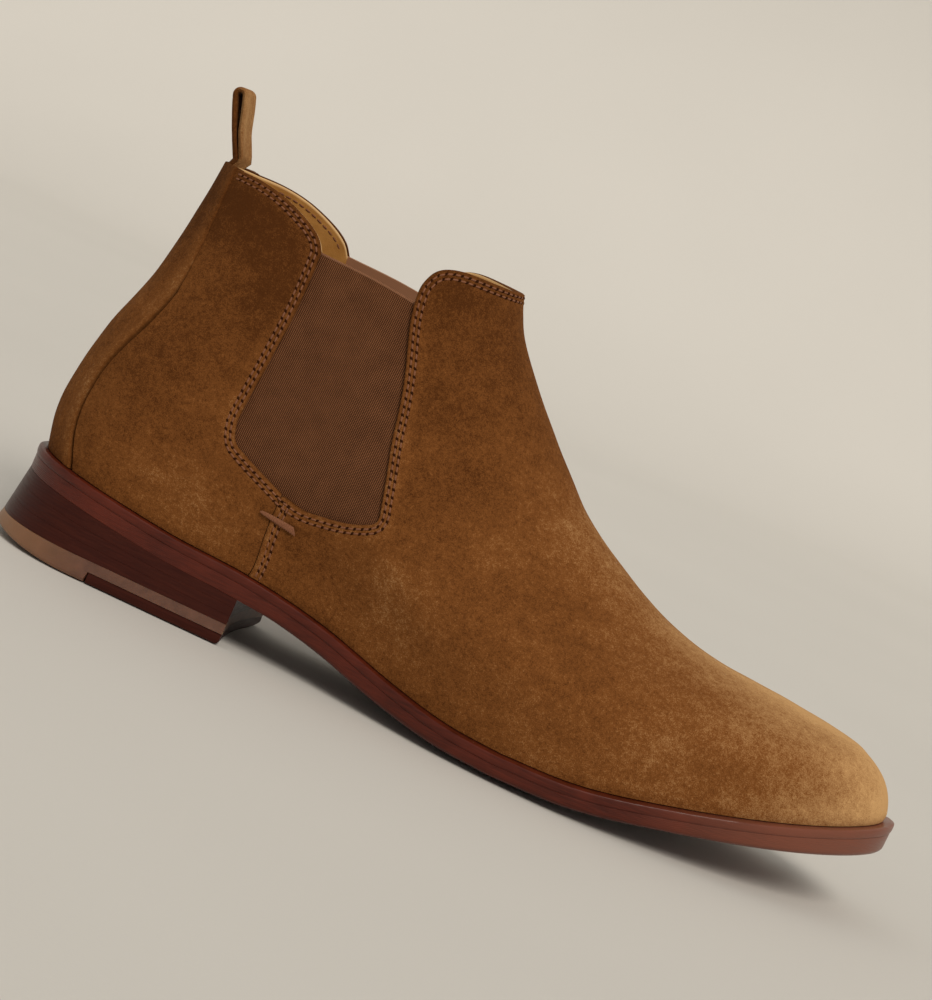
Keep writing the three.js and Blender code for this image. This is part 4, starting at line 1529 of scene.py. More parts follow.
        # Below the gusset its front edge lies under the vamp.
        hidden = self.pattern.quarter_shares[0]
        edge, collar = self.line(self.pattern.quarter_edge(), start=hidden), half[:, -1]
        outer = self.panel("Quarter.Outer", half, [edge, collar])
        self.shop.done(outer, "suede", "quarter_lateral")
        inner = self.panel("Quarter.Inner", other_side(half), [mirrored(edge), mirrored(collar)])
        self.shop.done(inner, "suede", "quarter_medial")

    def build_strip(self) -> None:
        """The strip that covers the seam up the back, laid over both quarters."""
        b = self.top_shares(110)
        t = 1 - self.edge_shares(24)[::-1]
        q = t[:, None] * (self.strip_edge(b)[None] - self.strip_gap)
        half = np.stack(np.broadcast_arrays(q, b[None]), -1)
        grid = np.concatenate([other_side(half, Fold.BACK)[:-1], half])
        edges = [half[-1], half[:, -1], grid[0], grid[:, -1]]
        obj = self.panel("BackStrip", grid, edges, [half[-1], grid[0]])
        self.shop.done(obj, "suede", "back_strip")

    def build_gussets(self) -> None:
        """The elastic at both sides, each rib a fold of the surface."""
        samples = 6
        first = self.pattern.gusset_back(self.tuck)[-1][0]
        end = self.pattern.gusset_foot(self.tuck)[-1][0] - 0.8
        x = np.arange(first, end, self.rib / samples)
        b = np.concatenate([np.linspace(0, 0.97, 58), [0.98, 0.986, 0.99, 0.994, 0.997, 1.0]])
        half = self.pattern.gusset(self.tuck, x, b)
        stripe = np.sqrt(0.5 + 0.5 * np.cos(2 * math.pi * (x - first) / self.rib))
        for name, node, grid, ribs in (
            ("Gusset.Outer", "gusset_lateral", half, stripe),
            ("Gusset.Inner", "gusset_medial", other_side(half), stripe[::-1]),
        ):
            q, v = grid[..., 0], grid[..., 1]
            on = self.last.point(q, v)
            rib = np.broadcast_to(ribs[:, None], q.shape)
            steps = np.linalg.norm(np.diff(on, axis=1), axis=-1)
            rise = np.concatenate([np.zeros((len(x), 1)), steps], 1).cumsum(1)
            # The top is turned in: a fold that stands out a little over the groove of its seam.
            under = np.linalg.norm(on - on[:, -1:], axis=-1)
            groove = np.exp(-((under - self.hem) / 0.18) ** 2)
            out = self.elastic_out + self.rib_height * (rib - 1) + 0.06 * ripple(on, 11, 26) - 0.25 * groove
            out = out + 0.15 * (1 - eased(under, 0.4, self.hem))
            front = self.last.offset(q, v, out)
            back = self.last.offset(q, v, np.full_like(q, self.elastic_out - self.elastic))
            obj = sheet_mesh(name, self.last.place(front), self.last.place(back), 60)
            # The inside gets a high rib tone: painted light on a face that lies in shade.
            put_values(obj, "rib", np.concatenate([rib.ravel(), np.full(rib.size, 0.8)]))
            put_values(obj, "rise", np.concatenate([rise.ravel(), rise.ravel()]))
            # A painted highlight along the turned top; the inside is painted pale all over.
            turned = 0.6 * (1 - eased(under, self.hem - 0.35, self.hem - 0.1))
            put_values(obj, "hem", np.concatenate([turned.ravel(), np.ones(rib.size)]))
            self.shop.done(obj, "elastic", node)

    def build_linings(self) -> None:
        """The leather inside: one piece for the front, one for the rear."""
        rows = np.concatenate([np.linspace(0, 0.985, 60), [0.99, 0.994, 0.997, 1.0]])
        front = self.pattern.vamp(np.linspace(0, 1, 60), rows)
        rear = self.pattern.quarter(lambda b: 0 * np.asarray(b, float), np.linspace(0, 1, 50), rows)
        whole = np.concatenate([front, other_side(front)[1:]])
        round_back = np.concatenate([other_side(rear, Fold.BACK)[:-1], rear])
        pieces = (("VampLining", whole, "vamp_lining"), ("QuarterLining", round_back, "quarter_lining"))
        for name, grid, node in pieces:
            q, v = grid[..., 0], grid[..., 1]
            on = self.last.point(q, v)
            out = self.lining_out - 1.1 * (1 - eased(v, 0.8, 0.93)) + 0.12 * ripple(on, 13, 22)
            rim = distance_to(on, on[:, -1])
            drop = 0.35 * (1 - np.clip(rim / 0.35, 0, 1)) ** 2
            outer = self.last.offset(q, v, out - drop)
            inner = self.last.offset(q, v, out - self.lining + drop)
            obj = sheet_mesh(name, self.last.place(outer), self.last.place(inner), 60)
            put_values(obj, "rim", np.concatenate([rim.ravel(), rim.ravel()]))
            self.shop.done(obj, "lining_leather", node)

    def run(self, line: Array, out: Array) -> list[tuple[Array, Array, Array]]:
        """Places for one row of stitches along a line of (q, v).

        Args:
            line: the row's dense line.
            out: how far each point's stitches lie above the last.

        Returns:
            A centre, a direction and a normal for each stitch, in metres.
        """
        normals = self.last.axes(*line.T)[2]
        points = self.last.point(*line.T) + normals * out[:, None]
        length = np.concatenate([[0], np.cumsum(np.linalg.norm(np.diff(points, axis=0), axis=1))])
        places = np.arange(self.pitch * 0.6, length[-1] - self.pitch * 0.4, self.pitch)
        at = lambda s, values: np.stack([np.interp(s, length, values[:, k]) for k in range(3)], -1)
        half = self.stitch * 0.5
        ahead, behind = at(places + half, points), at(places - half, points)
        normal = at(places, normals)
        centre = (ahead + behind) / 2
        return [(c, d, n) for c, d, n in zip(self.last.place(centre), ahead - behind, normal)]

    def met(self, first: Array, second: Array) -> Array:
        """Two lines cut where they come closest, and joined there.

        Args:
            first: (n, 2) points (q, v), kept from its start.
            second: as many more, kept to its end.

        Returns:
            One line of (q, v).
        """
        a, b = self.last.point(*first.T), self.last.point(*second.T)
        gaps = np.linalg.norm(a[:, None] - b[None], axis=-1)
        i, j = np.unravel_index(np.argmin(gaps), gaps.shape)
        return np.concatenate([first[:i + 1], second[j + 1:]])

    def edge_row(self, distance: float) -> tuple[Array, Array]:
        """One row round the collar, the gusset and the collar again.

        Args:
            distance: how far it runs from the edges, in millimetres.

        Returns:
            The row as a line of (q, v), and how far each of its points stands out.
        """
        last, p = self.last, self.pattern
        # It starts just above the side seam, where the edges of the gusset's foot begin.
        begin = 0.002
        quarter = last.inward(self.line(p.quarter_edge(), 500, p.quarter_shares[0] + begin), distance, 1)
        vamp = last.inward(self.line(p.vamp_edge(), 500, p.vamp_shares[0] + begin), distance, -1)
        rear = last.inward(self.line(p.collar_back(), 300, 0.04)[::-1], distance, 1)
        front = last.inward(self.line(p.collar_to_ridge(), 400, 0, 0.985), distance, -1)
        seam = last.point(*self.line(p.seam_line(p.gap)).T)
        behind, ahead = self.met(quarter, rear)[::-1], self.met(vamp, front)
        over = self.lap * (1 - eased(distance_to(last.point(*ahead.T), seam), 0.4, self.lap_reach))
        return np.concatenate([behind, ahead]), 0.02 + np.concatenate([np.zeros(len(behind)), over])

    def build_stitches(self) -> None:
        """Double rows round the gussets and the collar and down the side seams, with their holes, and one
        row inside the collar."""
        last, p = self.last, self.pattern
        rows = {"Stitches.Edge": [self.edge_row(d) for d in self.rows]}
        rows |= {"Stitches.Seam": [], "Stitches.Lining": []}
        for d in self.seam_rows:
            seam = last.inward(self.line(p.seam_line(p.gap), 200, 0.02, 0.97), d, -1)
            rows["Stitches.Seam"].append((seam, np.full(len(seam), self.lap * 0.8)))
        for collar in (p.collar_back(), p.collar_front()):
            inside = last.inward(self.line(collar, 300, 0.02, 0.98), self.lining_row, -1)
            rows["Stitches.Lining"].append((inside, np.full(len(inside), self.lining_out - self.lining)))
        for name, lines in rows.items():
            turned = [(mirrored(line), out) for line, out in lines]
            spots = [spot for line, out in lines + turned for spot in self.run(line, out)]
            obj = capsules(name, spots, self.stitch, self.thread, self.thread * 0.8)
            self.shop.done(obj, "thread")
            if name == "Stitches.Lining":
                continue
            # Each needle's hole is a dark capsule: a painted shadow in the hole.
            holes = [(c + d / np.linalg.norm(d) * self.pitch / 2 * MM, self.slanted(d, n), n)
                     for c, d, n in spots]
            obj = capsules(name.replace("Stitches", "Holes"), holes, *self.hole)
            self.shop.done(obj, "hole")

    def slanted(self, direction: Array, normal: Array) -> Array:
        """The long way of a hole, which the needle's blade cuts across the row at a slant.

        Args:
            direction: which way the row runs.
            normal: the leather's normal.

        Returns:
            The hole's direction.
        """
        angle = math.radians(self.hole_slant)
        along = direction / np.linalg.norm(direction)
        return along * math.cos(angle) + np.cross(normal, along) * math.sin(angle)

    def build_tacks(self) -> None:
        """The bar tack across each side seam's top: close strands, narrower to the rear."""
        start, end, height, strands = 78.2, 90.2, 20.5, 32
        lengths = 0.7 + 2.5 * np.sqrt(np.linspace(0, 1, strands))
        x = np.linspace(start, end, strands)
        line = self.last.lay([[px, height] for px in x])
        for name, node, row in (("BarTack.Outer", "bar_tack_lateral", line),
                                ("BarTack.Inner", "bar_tack_medial", mirrored(line))):
            points = self.last.point(*row.T)
            _, up, normal = self.last.axes(*row.T)
            runs = np.gradient(points, axis=0)
            spots = []
            for k, run in enumerate(runs):
                lean = 0.08 if k % 2 else -0.08
                direction = up[k] / np.linalg.norm(up[k]) + lean * run / np.linalg.norm(run)
                centre = self.last.place(points[k] + normal[k] * (self.lap + 0.35))
                spots.append((centre, direction, normal[k]))
            obj = capsules(name, spots, lengths, 0.75, 0.85)
            self.shop.done(obj, "thread", node)


# ---- The sole and the heel -----------------------------------------------------------------------


@dataclass
class Sole:
    """The welt, the outsole, the layers of the heel and what lies under the foot.

    Sizes are in millimetres; the breast, the rubber's step and where the tread curves up are shares of the
    last's length.
    """

    shop: Shop
    welt: float = 3.2
    welt_inset: float = 9.0
    swell: float = 0.3
    steps: int = 260
    clear: float = 0.3
    top_lift: float = 7.0
    insert: float = 3.4
    tread_from: float = 0.1
    tread_reach: float = 0.12
    tread_rise: float = 3.2
    corner: float = 1.4
    lifts: int = 3
    breast: float = 0.278
    hollow: float = 2.5
    rubber_step: float = 0.117
    upper: float = 4.96
    insole: float = 2.5
    pad: float = 2.0
    sock: float = 1.0
    nail_radius: float = 0.8
    nail_play: float = 0.15
    nail: float = 11.0
    drill: float = 12.5
    drill_height: float = 4.0

    def __post_init__(self) -> None:
        """Keeps the last at hand."""
        self.last = self.shop.last

    def build(self) -> None:
        """Makes every piece of the sole."""
        self.build_welt()
        self.build_outsole()
        self.build_heel()
        self.build_footbed()

    @staticmethod
    def share(p: Array) -> Array:
        """The share of the last's length at p round the outline."""
        return np.sin(np.asarray(p) * math.pi / 2) ** 2

    def build_welt(self) -> None:
        """The ring under the upper: flat on top, with a rounded and polished edge over a groove."""
        stations = np.linspace(0, 1, self.steps)
        loop = [(Side.OUTER, stations), (Side.INNER, stations[1:-1][::-1])]
        section = [(-self.welt_inset, -self.welt), (-0.2, -self.welt), (-0.05, -self.welt + 0.02),
                   (0.0, -self.welt + 0.07)]
        section += [(self.swell * math.sin(t), -1.62 - 1.4 * math.cos(t))
                    for t in np.linspace(0.3, math.pi - 0.5, 9)]
        section += [(0.0, -0.3), (-0.3, -0.11), (-0.75, -0.02), (-1.2, 0.0), (-self.welt_inset, 0.0)]
        rings, rises, worn = [], [], []
        for out, rise in section:
            parts = []
            for side, p in loop:
                edge = out + self.last.edge(self.share(p)) * (out > -self.welt_inset + 1)
                flat = self.last.outline(side, p, edge)
                parts.append(np.concatenate([flat, (self.last.seat(flat[:, 0]) + rise)[:, None]], -1))
            ring = np.concatenate(parts)
            rings.append(ring)
            rises.append(np.full(len(ring), rise))
            worn.append(np.full(len(ring), 0.25 if rise > -2.6 else 0.8))
        grid = np.stack(rings, 1)
        n, m = grid.shape[:2]
        faces = [(i * m + j, (i + 1) % n * m + j, (i + 1) % n * m + (j + 1) % m, i * m + (j + 1) % m)
                 for i in range(n) for j in range(m)]
        obj = make_mesh("Welt", self.last.place(grid.reshape(-1, 3)), faces, 45)
        put_values(obj, "rise", np.stack(rises, 1))
        put_values(obj, "worn", np.stack(worn, 1))
        self.put_toe(obj)
        self.shop.done(obj, "sole_leather", "welt")

    def layer(self, name: str, rings: Sequence[tuple[Curve, Callable]], stations: Array, columns: int,
              hollow: float = 0.0, sharp: float = 35) -> bpy.types.Object:
        """A flat layer of the sole.

        Args:
            name: the object's name.
            rings: from its underside up, how far each ring stands out and its height.
            stations: where it runs, as p round the outline.
            columns: steps across.
            hollow: how far its front edge curves back, for the heel's breast.
            sharp: edges that turn more than this many degrees stay crisp.

        Returns:
            The object.
        """
        t = np.linspace(0, 1, columns + 1)
        share = self.share(stations)
        grids = []
        for out, height in rings:
            outer = self.last.outline(Side.OUTER, stations, out(share))
            inner = self.last.outline(Side.INNER, stations, out(share))
            flat = outer[:, None] * (1 - t)[None, :, None] + inner[:, None] * t[None, :, None]
            flat[..., 0] -= hollow * 4 * t * (1 - t) * eased(share, self.breast - 0.07, self.breast)[:, None]
            z = np.broadcast_to(height(flat[..., 0], flat[..., 1]), flat.shape[:2])
            grids.append(np.concatenate([flat, z[..., None]], -1))
        rows, top = columns + 1, len(grids) - 1
        size = len(stations) * rows
        faces = [*grid_faces(len(stations), rows, top * size), *grid_faces(len(stations), rows, flip=True)]
        ring = grid_rim(len(stations), rows)
        for k in range(top):
            for i, a in enumerate(ring):
                b = ring[(i + 1) % len(ring)]
                faces.append((a + k * size, b + k * size, b + (k + 1) * size, a + (k + 1) * size))
        points = np.stack(grids).reshape(-1, 3)
        obj = make_mesh(name, self.last.place(points), faces, sharp)
        rise = points[:, 2] - self.last.seat(points[:, 0])
        loose = np.ones(len(points), bool)
        loose[np.unique(np.concatenate([np.asarray(f) for f in faces]))] = False
        put_values(obj, "rise", rise)
        put_values(obj, "worn", np.ones(len(points)))
        remove_vertices(obj.data, loose)
        return obj

    def build_outsole(self) -> None:
        """The long layer of leather under the welt, domed under the forefoot, with a worn lower rim."""
        edge = self.last.edge
        # Under the heel the lower rim is cut flush with the lifts; ahead of it, it is rounded by wear.
        least = 0.08
        worn = lambda share: least + (1 - least) * eased(share, self.breast, self.breast + 0.05)
        rim = lambda out: (lambda share: edge(share) + out * worn(share))
        up = lambda drop: (lambda x, y: self.last.seat(x) - self.welt - 0.03 - drop)
        low = lambda lift: (lambda x, y: self.last.underside(x, y) + lift * worn(self.last.share_at(x)))
        rings = [(rim(-2.4), low(0)), (rim(-1.6), low(0.08)), (rim(-0.9), low(0.34)), (rim(-0.45), low(0.75)),
                 (rim(-0.2), low(1.2)), (rim(-0.1), low(1.8)), (rim(0.0), up(0.9)), (rim(0.0), up(0.07)),
                 (lambda share: edge(share) - 0.05, up(0.02)), (lambda share: edge(share) - 0.2, up(0))]
        obj = self.layer("Outsole", rings, np.linspace(0, 1, self.steps), 24)
        self.put_toe(obj)
        self.shop.done(obj, "sole_leather", "outsole")

    def put_toe(self, obj: bpy.types.Object) -> None:
        """Stores how near each point is to the toe, for the paler toe of the edge, partly a painted
        highlight.
        """
        x = np.array([vertex.co.x for vertex in obj.data.vertices]) / MM + self.last.origin
        put_values(obj, "toe", eased(self.last.share_at(x), 0.72, 0.97))

    def rim(self, level: float, out: float = 0.0) -> Curve:
        """How far a layer of the heel stands out.

        Args:
            level: 1 at the outsole and 0 at the ground.
            out: what is added to it, in millimetres.

        Returns:
            The rim's width at each share of the last's length.
        """
        edge, flare = self.last.edge, self.last.heel_flare
        return lambda share: edge(share) + (1 - level) * flare * (1 - 0.75 * eased(share, 0, 0.14)) + out

    def tread(self, x: Array) -> Array:
        """How far the tread curves up towards the back of the heel."""
        share = self.last.share_at(x)
        return self.tread_rise * np.clip((self.tread_from - share) / self.tread_reach, 0, 2) ** 2

    def build_nail(self, x: float) -> None:
        """The rearmost nail, whose head follows the tread.

        Args:
            x: its place along the boot in millimetres.
        """
        proud = float(self.tread(np.array(x))) + 0.15
        centre = Vector((x - self.last.origin, 0, proud + self.nail / 2)) * MM
        pin = ring_pins("HeelNail.Rear", [centre], self.nail_radius * MM, self.nail * MM)
        self.shop.done(pin, "brass", "heel_nail_1")

    def drilled(self, obj: bpy.types.Object, spots: Sequence[tuple[float, float]]) -> bpy.types.Object:
        """A piece with the nails' holes cut in it.

        Args:
            obj: the piece.
            spots: x and y of each nail in millimetres.

        Returns:
            The same piece.
        """
        centres = [Vector((x - self.last.origin, y, self.drill_height)) * MM for x, y in spots]
        tool = ring_pins("Cutter", centres, (self.nail_radius + self.nail_play) * MM, self.drill * MM)
        change = obj.modifiers.new("Holes", "BOOLEAN")
        change.object, change.operation, change.solver = tool, "DIFFERENCE", "EXACT"
        bpy.context.view_layer.update()
        cut = bpy.data.meshes.new_from_object(obj.evaluated_get(bpy.context.evaluated_depsgraph_get()))
        obj.modifiers.clear()
        obj.data = cut
        bpy.data.objects.remove(tool)
        cut.set_sharp_from_angle(angle=math.radians(35))
        return obj

    def build_heel(self) -> None:
        """Three lifts of leather over a wearing layer of rubber, whose front is a leather insert."""
        last, shop = self.last, self.shop
        p_of = lambda share: 2 / math.pi * math.asin(math.sqrt(share))
        stations = np.linspace(0, p_of(self.breast), 90)
        step = p_of(self.rubber_step)
        spots = [(0.03, 0), (0.075, -0.62), (0.075, 0.62), (0.165, -0.66), (0.165, 0.66), (0.24, 0)]
        nails = [(float(last.x_at(s)), y * last.heel_half) for s, y in spots]
        # The rubber is thinner in front, where it lies on the leather insert.
        ledge = lambda lift: (lambda x, y: np.where(last.share_at(x) < self.rubber_step, self.tread(x) + lift,
                                                    self.insert + 0.06 + lift * 0.1))
        high = lambda value: (lambda x, y: np.full(x.shape, value))
        away = stations[np.abs(stations - step) > 0.004]
        stepped = np.sort(np.concatenate([away, [step - 0.0005, step + 0.0012]]))
        rubber = self.layer("RubberTopLift", [
            (self.rim(0, -1.3), ledge(0.0)), (self.rim(0, -0.6), ledge(0.2)), (self.rim(0, -0.2), ledge(0.7)),
            (self.rim(0.05), ledge(1.5)), (self.rim(0.24), high(self.top_lift - 0.1)),
            (self.rim(0.25, -0.1), high(self.top_lift)),
        ], stepped, 12, self.hollow)
        shop.done(self.drilled(rubber, nails), "rubber", "rubber_top_lift")
        self.build_nail(nails[0][0])
        crowded = p_of(self.breast) - np.array([0.001, 0.0022, 0.0036, 0.0055])
        front = np.sort(np.concatenate([[step + 0.0024], stations[stations > step + 0.008], crowded]))
        # The lower front corner is rounded, where the heel scuffs first on a stair.
        begin = last.x_at(self.breast) - self.corner
        past = lambda x: np.clip((x - begin) / self.corner, 0, 1)
        scuff = lambda x: self.corner * (1 - np.sqrt(1 - past(x) ** 2))
        lower = lambda value: (lambda x, y: value + scuff(x) * (1 - value / self.insert))
        insert = self.layer("LeatherTopInsert", [
            (self.rim(0, -0.5), lower(0.0)), (self.rim(0, -0.2), lower(0.25)), (self.rim(0.03), lower(0.6)),
            (self.rim(0.14), high(self.insert - 0.1)), (self.rim(0.15, -0.1), high(self.insert)),
        ], front, 12, self.hollow)
        shop.done(self.drilled(insert, nails), "heel_leather", "leather_top_insert")
        for k in range(self.lifts):
            obj = self.layer(f"HeelLift.{self.lifts - k}", [
                (self.lift_rim(k, -0.05), self.lift_level(k, 0.01)),
                (self.lift_rim(k + 0.01), self.lift_level(k, 0.06)),
                (self.lift_rim(k + 0.5), self.lift_level(k + 0.5, 0)),
                (self.lift_rim(k + 0.99), self.lift_level(k + 1, -0.06)),
                (self.lift_rim(k + 1, -0.05), self.lift_level(k + 1, -0.01)),
            ], stations, 12, self.hollow)
            shop.done(obj, "heel_leather", f"heel_lift_{self.lifts - k}")

    def lift_rim(self, lifts: float, out: float = 0.0) -> Curve:
        """The rim so many lifts above the wearing layer, moved out by a little."""
        return self.rim(0.25 + 0.75 * lifts / self.lifts, out)

    def lift_level(self, lifts: float, off: float) -> Callable:
        """A level inside the stack.

        Args:
            lifts: how many lifts above the wearing layer.
            off: what is added to it, in millimetres.

        Returns:
            A function of x and y that gives the height.
        """
        part = lifts / self.lifts
        bottom = (self.top_lift + 0.05) * (1 - part)
        return lambda x, y: bottom + (self.last.seat(x) - self.last.band_heel - 0.05) * part + off

    def build_footbed(self) -> None:
        """The sock liner that shows inside, over a foam heel pad."""
        last = self.last
        under = lambda x: np.maximum(self.pad * (1 - eased(last.share_at(x), 0.22, 0.3)), 0.3)
        rise = lambda extra: (lambda x, y: last.seat(x) + self.insole + 3 * self.clear + under(x) + extra)
        inset = lambda out: (lambda share: np.full(np.shape(share), -out))
        near = self.upper + 0.6
        stations = np.linspace(0.02, 0.985, 160)
        sock = self.layer("SockLiner", [(inset(near), rise(0)), (inset(near), rise(self.sock * 0.7)),
                                        (inset(near + 0.3), rise(self.sock))], stations, 20)
        put_values(sock, "rim", np.full(len(sock.data.vertices), 2.0))
        self.shop.done(sock, "lining_leather", "sock_liner")
        pad_low = lambda x, y: last.seat(x) + self.insole + 2 * self.clear
        pad = self.layer("HeelPad", [
            (inset(near + 4.4), pad_low),
            (inset(near + 3.6), lambda x, y: pad_low(x, y) + 0.1),
            (inset(near + 3.8), lambda x, y: pad_low(x, y) + under(x) * 0.8),
            (inset(near + 4.6), lambda x, y: pad_low(x, y) + under(x)),
        ], np.linspace(0.03, 0.34, 50), 14)
        self.shop.done(pad, "foam", "heel_pad")


def remove_vertices(mesh: bpy.types.Mesh, doomed: Array) -> None:
    """Takes loose vertices out of a mesh.

    Args:
        mesh: the mesh.
        doomed: for each vertex, whether it goes.
    """
    edit = bmesh.new()
    edit.from_mesh(mesh)
    edit.verts.ensure_lookup_table()
    bmesh.ops.delete(edit, geom=[edit.verts[int(i)] for i in np.flatnonzero(doomed)], context="VERTS")
    edit.to_mesh(mesh)
    edit.free()


def ring_pins(name: str, centres: Sequence[Vector], radius: float, length: float) -> bpy.types.Object:
    """Upright round pins in one object.

    Args:
        name: the object's name.
        centres: the middle of each, in metres.
        radius: their radius in metres.
        length: their length in metres.

    Returns:
        The object.
    """
    sides = 24
    turn = np.linspace(0, 2 * math.pi, sides, endpoint=False)
    vertices, faces = [], []
    for k, c in enumerate(centres):
        for z in (-length / 2, length / 2):
            vertices += [(c.x + radius * math.cos(t), c.y + radius * math.sin(t), c.z + z) for t in turn]
        base = k * 2 * sides
        faces += [(base + i, base + (i + 1) % sides, base + sides + (i + 1) % sides, base + sides + i)
                  for i in range(sides)]
        faces += [tuple(range(base + sides - 1, base - 1, -1)), tuple(range(base + sides, base + 2 * sides))]
    return make_mesh(name, np.array(vertices), faces)


# ---- The pull tab --------------------------------------------------------------------------------


@dataclass
class PullTab:
    """One strap of suede folded in two: sewn in behind the collar, and a loop above it that leans back.

    Sizes are in millimetres, and the lean is in degrees.
    """

    shop: Shop
    width: float = 16.0
    height: float = 22.2
    half: float = 2.5
    strap: float = 1.7
    root: float = 14.0
    lean: float = 19.0
    back_radius: float = 17.0
    inside: float = 3.08
    root_out: float = 1.75

    def build(self) -> None:
        """Makes the strap and bends it at the collar."""
        last = self.shop.last
        top = last.back(np.array([1.0]))[0]
        foot = np.array([top[0] + self.inside, top[1] + last.clear + self.half])
        angle = math.radians(self.lean)
        up = np.array([-math.sin(angle), math.cos(angle)])
        side = np.array([math.cos(angle), math.sin(angle)])
        middle = self.half - self.strap / 2
        rise = self.height - self.half
        leg = lambda s, t: foot + up * t + side * s
        # The two legs lie close at the collar and open towards the top.
        spread = 0.66 + 0.34 * eased(np.linspace(0, 1, 14), 0.1, 0.95)
        path = [self.rooted(0.5, s) for s in np.linspace(1, 0.08, 12)]
        path += [leg(middle * w, h) for h, w in ((-1.0, 0.5), (0.8, 0.55), (3.0, 0.62))]
        path += [leg(middle * w, h) for h, w in zip(np.linspace(5, rise - 1, 14), spread)]
        path += [leg(middle * math.cos(t), rise + middle * math.sin(t)) for t in np.linspace(0, math.pi, 13)]
        path += [leg(-middle * w, h) for h, w in zip(np.linspace(rise - 1, 5, 14), spread[::-1])]
        path += [leg(-middle * w, h) for h, w in ((3.0, 0.62), (0.8, 0.55), (-1.0, 0.5))]
        path += [self.rooted(-0.42, s) for s in np.linspace(0.08, 1, 12)]
        strap = self.sweep("PullTab", np.array(path))
        self.shop.materials.put(strap, "suede")
        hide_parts("pull_tab", "pull_tab_root")
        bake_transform(strap)
        LOG.info("%s: %d vertices", strap.name, len(strap.data.vertices))

    def rooted(self, aside: float, depth: float) -> Array:
        """A point of the strap behind the collar, beside the back's inside.

        Args:
            aside: which leg, from -1 for the rear one to 1 for the front one.
            depth: shares of the root's length below the collar.

        Returns:
            x and z in millimetres.
        """
        last = self.shop.last
        v = 1 - self.root * depth / last.collar_rise
        back = last.back(np.array([v - 0.01, v, v + 0.01]).clip(0, 1))
        run = back[2] - back[0]
        run /= np.linalg.norm(run)
        inward = np.array([run[1], -run[0]])
        return back[1] + inward * (self.root_out + 0.5 * aside)

    def sweep(self, name: str, path: Array) -> bpy.types.Object:
        """The strap along a path in the boot's middle plane.

        Args:
            name: the object's name.
            path: (n, 2) x and z of its middle in millimetres, from the front leg's root to the rear one's.

        Returns:
            The object.
        """
        run = np.gradient(path, axis=0)
        run /= np.linalg.norm(run, axis=1, keepdims=True)
        across = np.stack([run[:, 1], -run[:, 0]], -1)
        count, half, thick = 22, self.width / 2, self.strap / 2
        w = np.linspace(-1, 1, count)
        round_off = np.sqrt(np.maximum(0, 1 - np.abs(w) ** 14))
        section = [(half * a, thick * b) for a, b in zip(w, round_off)]
        section += [(half * a, -thick * b) for a, b in zip(w[::-1][1:-1], round_off[::-1][1:-1])]
        n, m = len(path), len(section)
        # Where it is sewn in, the strap takes the round of the heel; the loop above is nearly flat.
        collar = self.shop.last.back(np.array([1.0]))[0, 1]
        bow = (1 - 0.85 * eased(path[:, 1], collar, collar + 12)) / (2 * self.back_radius)
        vertices = np.array([[at[0] + aside[0] * t + bend * y * y, y, at[1] + aside[1] * t]
                             for at, aside, bend in zip(path, across, bow) for y, t in section])
        faces = [(i * m + j, i * m + (j + 1) % m, (i + 1) * m + (j + 1) % m, (i + 1) * m + j)
                 for i in range(n - 1) for j in range(m)]
        faces += [tuple(range(m - 1, -1, -1)), tuple((n - 1) * m + j for j in range(m))]
        obj = make_mesh(name, self.shop.last.place(vertices), faces, 50)
        edge = np.array([self.width / 2 - abs(y) for _ in range(n) for y, _ in section])
        put_values(obj, "rim", edge)
        # Its front leg is painted lighter than its rear leg: painted light on the leg that faces the light,
        # painted shade on the other.
        tone = np.repeat(0.62 - 0.5 * eased(np.linspace(0, 1, n), 0.42, 0.6), m)
        put_values(obj, "shade", tone + 0.05 * ripple(vertices, 17, 8))
        return obj


# ---- The set ---------------------------------------------------------------------------------------


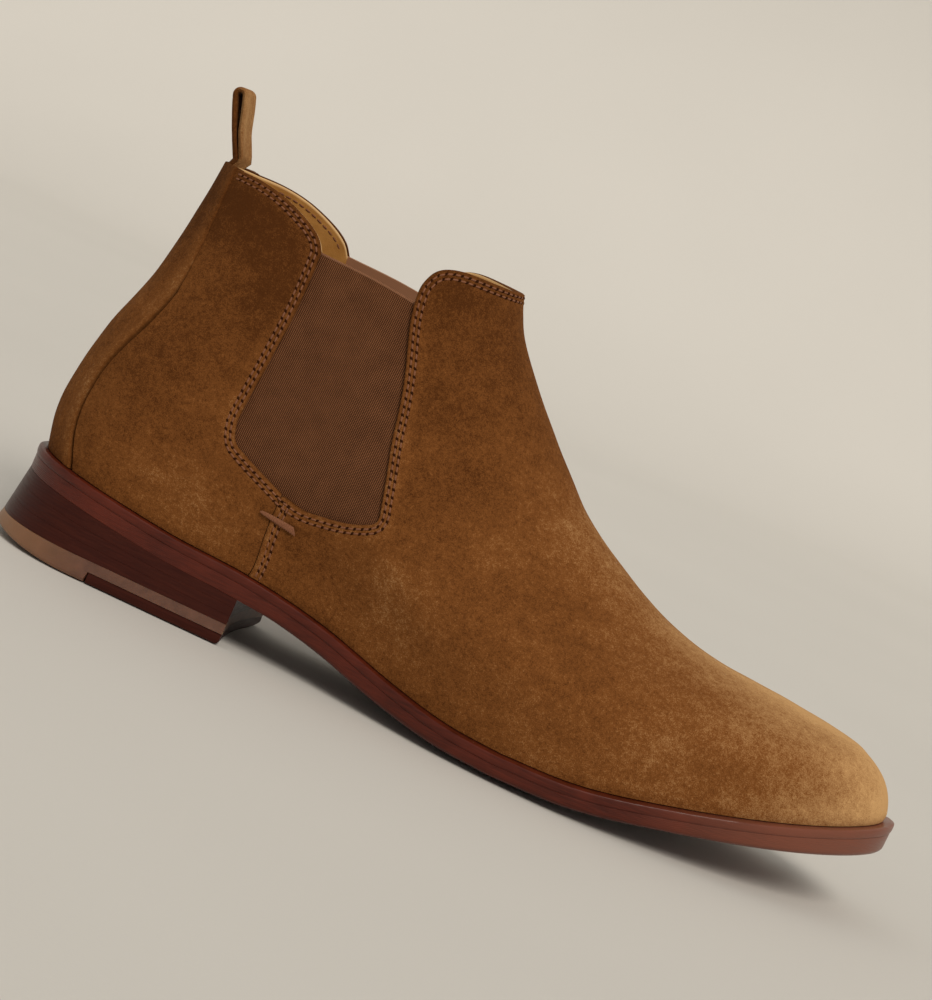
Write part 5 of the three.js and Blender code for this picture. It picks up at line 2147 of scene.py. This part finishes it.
@dataclass
class Studio:
    """A pale seamless sweep, one broad soft light and the camera, in metres and degrees."""

    wall: str = "#CCCAC5"
    distance: float = 1.0
    elevation: float = 6.0
    azimuth: float = 5.5
    roll: float = 24.0
    lens: float = 111.6
    target: tuple[float, float, float] = (0.0731, 0.0, 0.071)

    def build(self) -> None:
        """Sets the floor, the light and the camera."""
        self.build_sweep()
        self.build_light()
        self.build_camera()

    def build_sweep(self) -> None:
        """A floor that curves up into a backdrop, painted paper with a faint tooth."""
        radius, depth = 0.6, 1.4
        line = [(-2.5, 0.0), (depth, 0.0)]
        line += [(depth + radius * math.sin(t), radius - radius * math.cos(t))
                 for t in np.linspace(0.1, math.pi / 2, 14)]
        line += [(depth + radius, 3.0)]
        xs = np.linspace(-3.5, 3.5, 9)
        points = np.array([[x, y, z - 0.0004] for y, z in line for x in xs])
        obj = make_mesh("Sweep", points, grid_faces(len(line), len(xs), flip=True), 60)
        s = Shader("paper")
        tooth = s.noise(1.2, 3)
        paint = s.blend(s.between(s.noise(300, 2), 0.3, 0.7), self.wall, "#CFCDC8")
        s.finish(paint, 0.85, s.bump(tooth, 0.05))
        obj.data.materials.append(s.material)

    def build_light(self) -> None:
        """A pale surround, and one broad light from the front and the toe's side, halfway up, which falls
        on the floor and on the backdrop alike."""
        world = bpy.data.worlds.new("Studio")
        world.use_nodes = True
        around = world.node_tree.nodes["Background"].inputs
        around["Color"].default_value = color("#F3EFE8")
        around["Strength"].default_value = 0.52
        bpy.context.scene.world = world
        sun = bpy.data.lights.new("Key", "SUN")
        sun.energy, sun.angle, sun.color = 1.9, math.radians(28), color("#FFF6EA")[:3]
        lamp = bpy.data.objects.new("Key", sun)
        bpy.context.scene.collection.objects.link(lamp)
        lamp.rotation_euler = Vector((0.3, -0.67, 0.68)).to_track_quat("Z", "Y").to_euler()

    def build_camera(self) -> None:
        """A long lens from the outer side, turned so that the toe points down."""
        az, el = math.radians(self.azimuth), math.radians(self.elevation)
        back = Vector((math.sin(az) * math.cos(el), -math.cos(az) * math.cos(el), math.sin(el)))
        data = bpy.data.cameras.new("Camera")
        data.lens, data.sensor_width, data.sensor_fit = self.lens, 36.0, "AUTO"
        camera = bpy.data.objects.new("Camera", data)
        bpy.context.scene.collection.objects.link(camera)
        place = Matrix.Translation(Vector(self.target) + back * self.distance)
        aim = (-back).to_track_quat("-Z", "Y").to_matrix().to_4x4()
        roll = Matrix.Rotation(math.radians(self.roll), 4, "Z")
        camera.matrix_world = place @ (aim @ roll)
        bpy.context.scene.camera = camera


def dress_solids(frame: dict, materials: Materials) -> None:
    """Gives each solid of the frame its own finish.

    Args:
        frame: the loaded frame.
        materials: the finishes.
    """
    slots = {part["node"]: part["material_slot"] for part in frame["record"]["subparts"]}
    for name, node in frame["nodes"].items():
        if node.type == "MESH":
            finish = materials.made[slots[name]]
            if not node.material_slots:
                node.data.materials.append(finish)
            for place in node.material_slots:
                place.material = finish


def main() -> None:
    """Builds the boot piece by piece over the frame, then the set."""
    logging.basicConfig(level=logging.INFO, format="%(name)s: %(message)s")
    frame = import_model()
    materials = Materials()
    materials.build()
    dress_solids(frame, materials)
    shop = Shop(Last(), materials)
    Upper(shop).build()
    Sole(shop).build()
    PullTab(shop).build()
    Studio().build()
    bpy.context.scene.view_settings.view_transform = "Standard"


if __name__ == "__main__":
    main()
